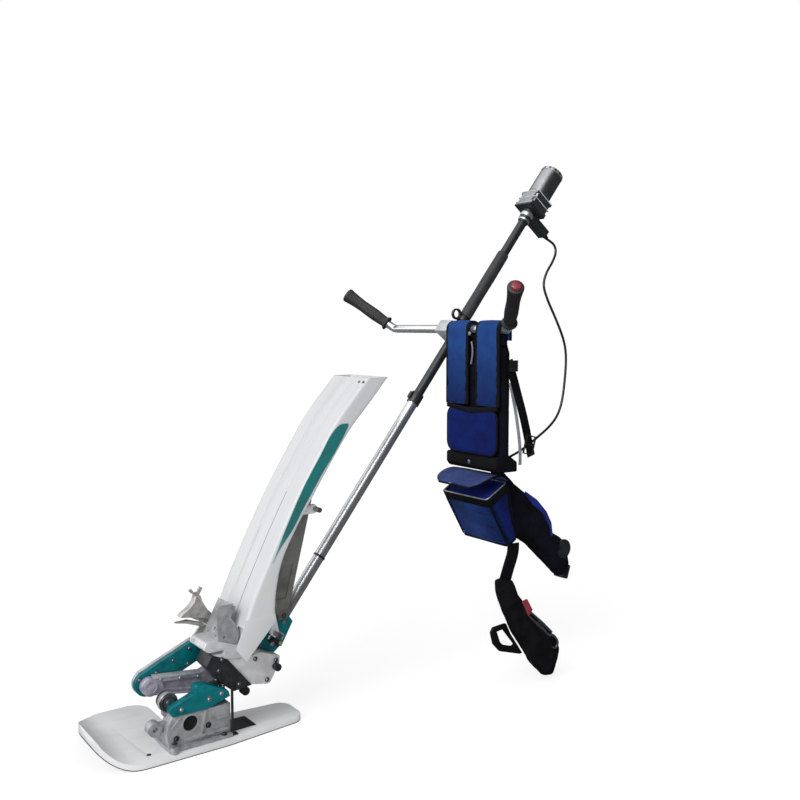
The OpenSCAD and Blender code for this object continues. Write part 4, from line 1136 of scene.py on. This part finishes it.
class TRANSPLANTER_OT_back(bpy.types.Operator):
    """Back panel, lower pad and the band under them"""
    bl_idname = "transplanter.back"
    bl_label = "Back panel and pad"

    def execute(self, context):
        look = context.scene.transplanter
        outline = [(PANEL_NEAR, 580), (PANEL_FAR, 580), (PANEL_FAR, 880), (-36, 903), (-218, 903),
                   (PANEL_NEAR, 880)]
        cushion(pad("panel_cloth", outline, back_place(967), 35, 20, 26, 8,
            seams=[[(PANEL_NEAR, 742), (PANEL_FAR, 742)], [(-127, 742), (-127, 903)]], seam_depth=4,
            wrinkle=2.0, wrinkle_size=34), "dark_cloth", "harness_panel")
        loop = [(-127 + a, 679 + b) for a, b in round_rect(194, 116, 26, 8)]
        cushion(pad("lower_pad_cloth", loop, back_place(940.6), 15, 4, 20, 6,
            seams=[[(-212, 701), (-42, 701)], [(-212, 657), (-42, 657)]], seam_depth=2.2, wrinkle=1.4,
            wrinkle_size=20, seed=3), "navy_cloth", "lower_pad")
        rim = [at(940, a, b) for a, b in loop + loop[:1]]
        dress(tube("lower_pad_piping", rim, look.piping / 2, 10, BACK), "webbing", "lower_pad")
        bow = [at(940 - 5 * math.sin(math.pi * t), -225 + 196 * t, 742 - 9 * math.sin(math.pi * t))
               for t in [k / 14 for k in range(15)]]
        dress(strap_along("panel_bow", bow, 0.014, 0.006, BACK), "webbing", "harness_panel")
        dress(slab("yoke_cloth", [(949.3, 898), (970.7, 898), (970.7, 925), (949.3, 925)],
            PANEL_NEAR - 0.5, PANEL_FAR + 0.5, 4), "dark_cloth", "harness_panel")
        stand_in(slab("band_cloth", [(939.5, 587), (947, 579), (1008, 579), (1008, 604), (985, 619),
            (939.5, 619)], PANEL_NEAR - 0.5, PANEL_FAR + 0.5, 5, 3), "dark_cloth", "harness_band")
        button = [(0, 5.6), (1.2, 5.4), (2.0, 4.2), (2.2, 2.2), (1.6, 1.8), (1.6, 0.1)]
        dress(joined("snap_studs", [lathe("snap", turned(at(*p), -90, "Y"), button, 28)
            for p in ((938.4, -120, 598), (936.6, -121, 928))]), "steel", "harness_band")
        slit = [at(946, y, z) for y, z in ((-117, 908), (-121.5, 890), (-120.5, 870), (-116, 850))]
        dress(strap_along("pale_slit", curve_through(slit, 5), 0.005, 0.003, BACK), "grey_webbing",
            "harness_panel")
        stay = [at(938.6, -226, 602), at(938.4, -130, 601), at(938.6, -29, 603)]
        dress(strap_along("band_webbing", stay, 0.026, 0.0022, BACK), "webbing", "harness_band")
        return {"FINISHED"}


class TRANSPLANTER_OT_bag(bpy.types.Operator):
    """Battery bag with its soft mouth, lining, piping and leaf-shaped lid"""
    bl_idname = "transplanter.bag"
    bl_label = "Battery bag"
    middle = (BAG_NEAR + BAG_FAR) / 2
    width = BAG_FAR - BAG_NEAR

    def depth(self, z):
        """Depth of the bag at one height: it narrows to its foot"""
        return BAG_DEPTH + (BAG_FOOT - BAG_DEPTH) * min(max(-z / BAG_HEIGHT, 0), 1)

    def ring(self, z, inset, bulge, corner):
        """Ring round the bag at one height, bulged in the middle of its walls"""
        deep = self.depth(z)
        base = round_rect(deep - 2 * inset, self.width - 2 * inset,
                          min(corner, deep / 2 - inset - 1), 5)
        out = []
        for x, y, wide, high in divided(base, lambda wide, high: 10 if high > 60 else
                                        4 if wide > 5 else 1):
            flat_x = max(0, 1 - (2 * y / self.width) ** 2) if high > 60 else 0
            flat_y = max(0, 1 - (2 * x / deep) ** 2) if wide > 5 else 0
            ripple = noise.noise(Vector((x / 40, y / 45, z / 50))) * 1.6
            x += math.copysign((bulge + ripple) * flat_x, x)
            y += math.copysign(bulge * 0.8 * flat_y, y)
            out.append(self.on_bag(deep / 2 + x, self.middle + y, z))
        return out

    def on_bag(self, x, y, z):
        """Point from millimetres in the bag's own frame, whose origin is the front of its mouth"""
        return BAG @ (Vector((x, y, z)) / 1000)

    def around(self, z, grow, corner):
        """Closed line round the bag at one height"""
        line = [self.on_bag(self.depth(z) / 2 + a, self.middle + b, z) for a, b in
                round_rect(self.depth(z) + 2 * grow, self.width + 2 * grow, corner, 6)]
        return line + line[:1]

    def execute(self, context):
        piping = context.scene.transplanter.piping / 2 * 0.8
        levels = [(-150, 10, 0, 8), (-149, 5, 0.4, 10), (-146, 1.6, 0.8, 11), (-140, 0.4, 1.2, 12)]
        levels += [(z, 0.2, 1.2 + 2.4 * math.sin(math.pi * (z + 144) / 144), 12)
                   for z in range(-132, -8, 6)]
        levels += [(-4, 0.2, 0.4, 12), (-0.5, 0.6, 0.0, 12)]
        rings = [self.ring(*level) for level in levels]
        rings += [self.ring(z, 4.6, 0.2, 9) for z in (-0.5, -8, -20, -31)]
        shell = loft("bag_cloth", rings, sharp=70)
        # The bag is one cloth in two tones: painted light on the faces that look forward, painted shade
        # on the others, and the lining in the mouth
        cushion(shell, "bag_front_painted_light", "battery_bag")
        for finish in ("bag_side_painted_shade_and_belt_panel", "lining"):
            shell.data.materials.append(FINISH[finish])
        to_bag = BAG.inverted()
        turn = BAG.to_3x3()
        for face in shell.data.polygons:
            n = turn.inverted() @ face.normal
            centre = to_bag @ face.center
            inward = (centre.x - 0.035) * n.x + (centre.y - self.middle / 1000) * n.y < -0.002
            lined = centre.z > -0.033 and inward
            face.material_index = 2 if lined else (0 if n.x < -0.5 else 1)

        up = turn @ Vector(UP)
        hem = [(b, a) for a, b in round_rect(0.022, 0.003, 0.0012, 2)]
        dress(sweep("bag_mouth_band", self.around(-10, 0.9, 13), hem, up, sharp=60), "webbing",
            "battery_bag")
        dress(tube("bag_silver_rim", self.around(0.4, -2.4, 11), 0.0024, 10, up), "lining",
            "battery_bag")
        seams = [tube("piping", self.around(-146, -0.8, 11), piping, 8, up)]
        for y in (BAG_NEAR + 2.6, BAG_FAR - 2.6):
            for rear in (0, 1):
                line = [self.on_bag(self.depth(z) - 2.6 if rear else 2.6, y, z)
                        for z in range(-142, -20, 12)]
                seams.append(tube("piping", line, piping, 8, turn @ Vector(BACK)))
        dress(joined("bag_piping", seams), "webbing", "battery_bag")
        round_nodes([("battery_pack", "plastic", 3)])

        line = [(LID_HINGE, 554.5), (990, 562), (976, 568), (960, 570), (944, 569), (926, 564),
                (908, 556), (894, 547)]
        widths = [178, 184, 184, 184, 183, 180, 166, 120]
        rings, edges = [], []
        for (x, z), wide in zip(curve_through([Vector(p) for p in line], 3),
                                curve_through([Vector((w, 0)) for w in widths], 3)):
            wide = wide.x
            ring = []
            for u, w, _, _ in divided(round_rect(wide, 5.2, 2.2, 3),
                                      lambda side, high: 10 if side > 6 else 1):
                dip = -LID_DROOP * (2 * u / wide) ** 2 * (LID_HINGE - x) / LID_REACH
                ripple = 0.8 * noise.noise(Vector((x, u, 3)) / 24)
                ring.append(at(x, self.middle + u, z + w + dip + ripple))
            rings.append(ring)
            low = z - LID_DROOP * (LID_HINGE - x) / LID_REACH
            edges.append([at(x, self.middle + u, low) for u in (-wide / 2, wide / 2)])
        cushion(loft("lid_leaf", rings, sharp=80), "lid_cloth", "bag_lid")
        rim = [near for near, far in edges] + [far for near, far in edges[::-1]]
        dress(tube("lid_binding", rim, piping, 8, UP), "webbing", "bag_lid")
        return {"FINISHED"}


class TRANSPLANTER_OT_belt(bpy.types.Operator):
    """Hip belt, drop strap, thigh pad, loop, quick release and side strap"""
    bl_idname = "transplanter.belt"
    bl_label = "Belt and thigh pad"

    def execute(self, context):
        wing = [(1005, 576), (1030, 572), (1104, 518), (1166, 477), (1205, 433), (1227, 383),
                (1261, 362), (1283, 334), (1291, 274), (1264, 242), (1240, 251), (1183, 302),
                (1129, 351), (1077, 383), (1037, 402), (1003, 545)]
        belt = pad("belt_cloth", wing, side_place(-132), 40, 16, 24, 7,
                   seams=[[(1060, 470), (1140, 420), (1212, 330), (1262, 288)]], seam_depth=3,
                   wrinkle=2.4, wrinkle_size=34, seed=5)
        inflated(belt)
        cushion(belt, "dark_cloth", "hip_belt")
        patch = pad("belt_panel", [(1106, 508), (1150, 480), (1186, 444), (1206, 410), (1212, 372),
            (1190, 352), (1158, 376), (1122, 420), (1100, 466)], side_place(-153.5), 5, 1.2, 12, 6,
            wrinkle=0.8, wrinkle_size=18)
        dress(patch, "bag_side_painted_shade_and_belt_panel", "hip_belt")
        dress(lathe("belt_roundel", turned(at(1254, -152, 330)), [(-1, 27), (3, 27), (5, 25),
            (5.6, 20), (4.6, 18), (5.2, 12), (5.8, 8), (5.6, 0.1)], 40), "plastic", "hip_belt")
        dress(box_piece("belt_buckle", turned(at(1272, -132, 262), 18, "Y"), (-13, -17, -20),
            (13, 17, 20), 4), "plastic", "hip_belt")
        belt_line = curve_through([at(1020, -154, 556), at(1060, -155, 500), at(1110, -155.5, 420),
            at(1170, -155, 350), at(1228, -154.5, 304), at(1270, -152, 262)], 6)
        dress(strap_along("belt_webbing", belt_line, 0.022, 0.0022, FAR), "webbing", "hip_belt")

        drop = curve_through([at(1024, -197.3, 386), at(1022, -197.1, 360), at(1006, -197.5, 320),
            at(988, -197.2, 272)], 6)
        strap = strap_along("drop_webbing", drop, 0.040, 0.0045, FAR)
        stand_in(strap, "webbing", "drop_strap")

        thigh = [(946, 304), (961, 309), (1003, 300), (1027, 262), (1077, 206), (1132, 156),
            (1173, 110), (1179, 78), (1170, 47), (1153, 12), (1119, 16), (1069, 58), (1041, 99),
            (998, 158), (970, 212), (948, 270)]
        pad_piece = pad("thigh_pad_cloth", thigh, side_place(-214), 27, 9, 24, 7,
                        seams=[[(976, 262), (1040, 168), (1100, 100), (1144, 52)]], seam_depth=2.4,
                        wrinkle=2.4, wrinkle_size=26, seed=9)
        inflated(pad_piece)
        cushion(pad_piece, "neoprene", "thigh_pad")
        round_nodes([("pad_loop", "webbing", 2.2)])
        stand_in(slab("release_clasp", [(1022, 240), (1042, 244), (1062, 212), (1046, 196)], -234,
            -228.4, 2, 3), "red", "quick_release")
        run = ((1052, -231.5, 202), (1090, -232.5, 170), (1130, -231.5, 134))
        rods = [tube("rod", [at(x + side * 0.6, y, z + side) for x, y, z in run], 0.003, 12)
                for side in (-5, 5)]
        rods.append(tube("hook", curve_through([at(1128, -232, 134), at(1142, -234, 126),
            at(1154, -234, 108), at(1148, -233, 94), at(1134, -232, 98)], 5), 0.003, 10))
        dress(joined("release_rods", rods), "steel", "quick_release")
        dress(box_piece("release_tab", turned(at(1092, -230, 166), 41, "Y"), (-16, -3.4, -11),
            (16, 3, 11), 2), "plastic", "quick_release")

        long = curve_through([at(972, -230, 862), at(1000, -232, 780), at(1026, -232.5, 704),
            at(1052, -230.5, 616)], 8)
        side = strap_along("side_webbing", long, 0.026, 0.003, FAR)
        low = turned(at(1043, -233, 645), 16, "Y") @ Matrix.Rotation(math.radians(90), 4, "X")
        clip = buckle("side_clip", low, 34, 50)
        place = turned(at(985, -234, 848))
        top = buckle("top_clip", place, 26, 28)
        fold = box_piece("top_fold", place, (-10, -12, -1.6), (10, 12, 1.6), 1)
        stand_in(side, "webbing", "side_strap")
        dress(joined("side_clips", [clip, top, fold]), "plastic", "side_strap")
        thin = curve_through([at(978, -229.5, 806), at(996, -231.5, 730), at(1010, -232, 650),
            at(1014, -230, 596)], 8)
        tail = strap_along("pale_webbing", thin, 0.010, 0.002, FAR)
        dress(tail, "grey_webbing", "side_strap")
        return {"FINISHED"}


class TRANSPLANTER_PT_panel(bpy.types.Panel):
    """Lists the sizes, colours and steps"""
    bl_label = "Rice transplanter"
    bl_idname = "TRANSPLANTER_PT_panel"
    bl_space_type = "VIEW_3D"
    bl_region_type = "UI"
    bl_category = "Transplanter"

    def draw(self, context):
        look = context.scene.transplanter
        for name in TransplanterLook.__annotations__:
            self.layout.prop(look, name)
        for step in STEPS:
            self.layout.operator(step.bl_idname)


STEPS = (TRANSPLANTER_OT_stage, TRANSPLANTER_OT_lead, TRANSPLANTER_OT_float,
         TRANSPLANTER_OT_gear_foot, TRANSPLANTER_OT_planting_arm, TRANSPLANTER_OT_tray,
         TRANSPLANTER_OT_mast, TRANSPLANTER_OT_handlebar, TRANSPLANTER_OT_motor,
         TRANSPLANTER_OT_straps, TRANSPLANTER_OT_back, TRANSPLANTER_OT_bag, TRANSPLANTER_OT_belt)
CLASSES = (TransplanterLook, TRANSPLANTER_PT_panel) + STEPS


def register():
    for one in CLASSES:
        bpy.utils.register_class(one)
    bpy.types.Scene.transplanter = PointerProperty(type=TransplanterLook)


def unregister():
    del bpy.types.Scene.transplanter
    for one in reversed(CLASSES):
        bpy.utils.unregister_class(one)


def main():
    """Builds all the pieces in order"""
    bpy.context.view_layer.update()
    register()
    for step in STEPS:
        group, name = step.bl_idname.split(".")
        getattr(getattr(bpy.ops, group), name)()


if __name__ == "__main__":
    main()
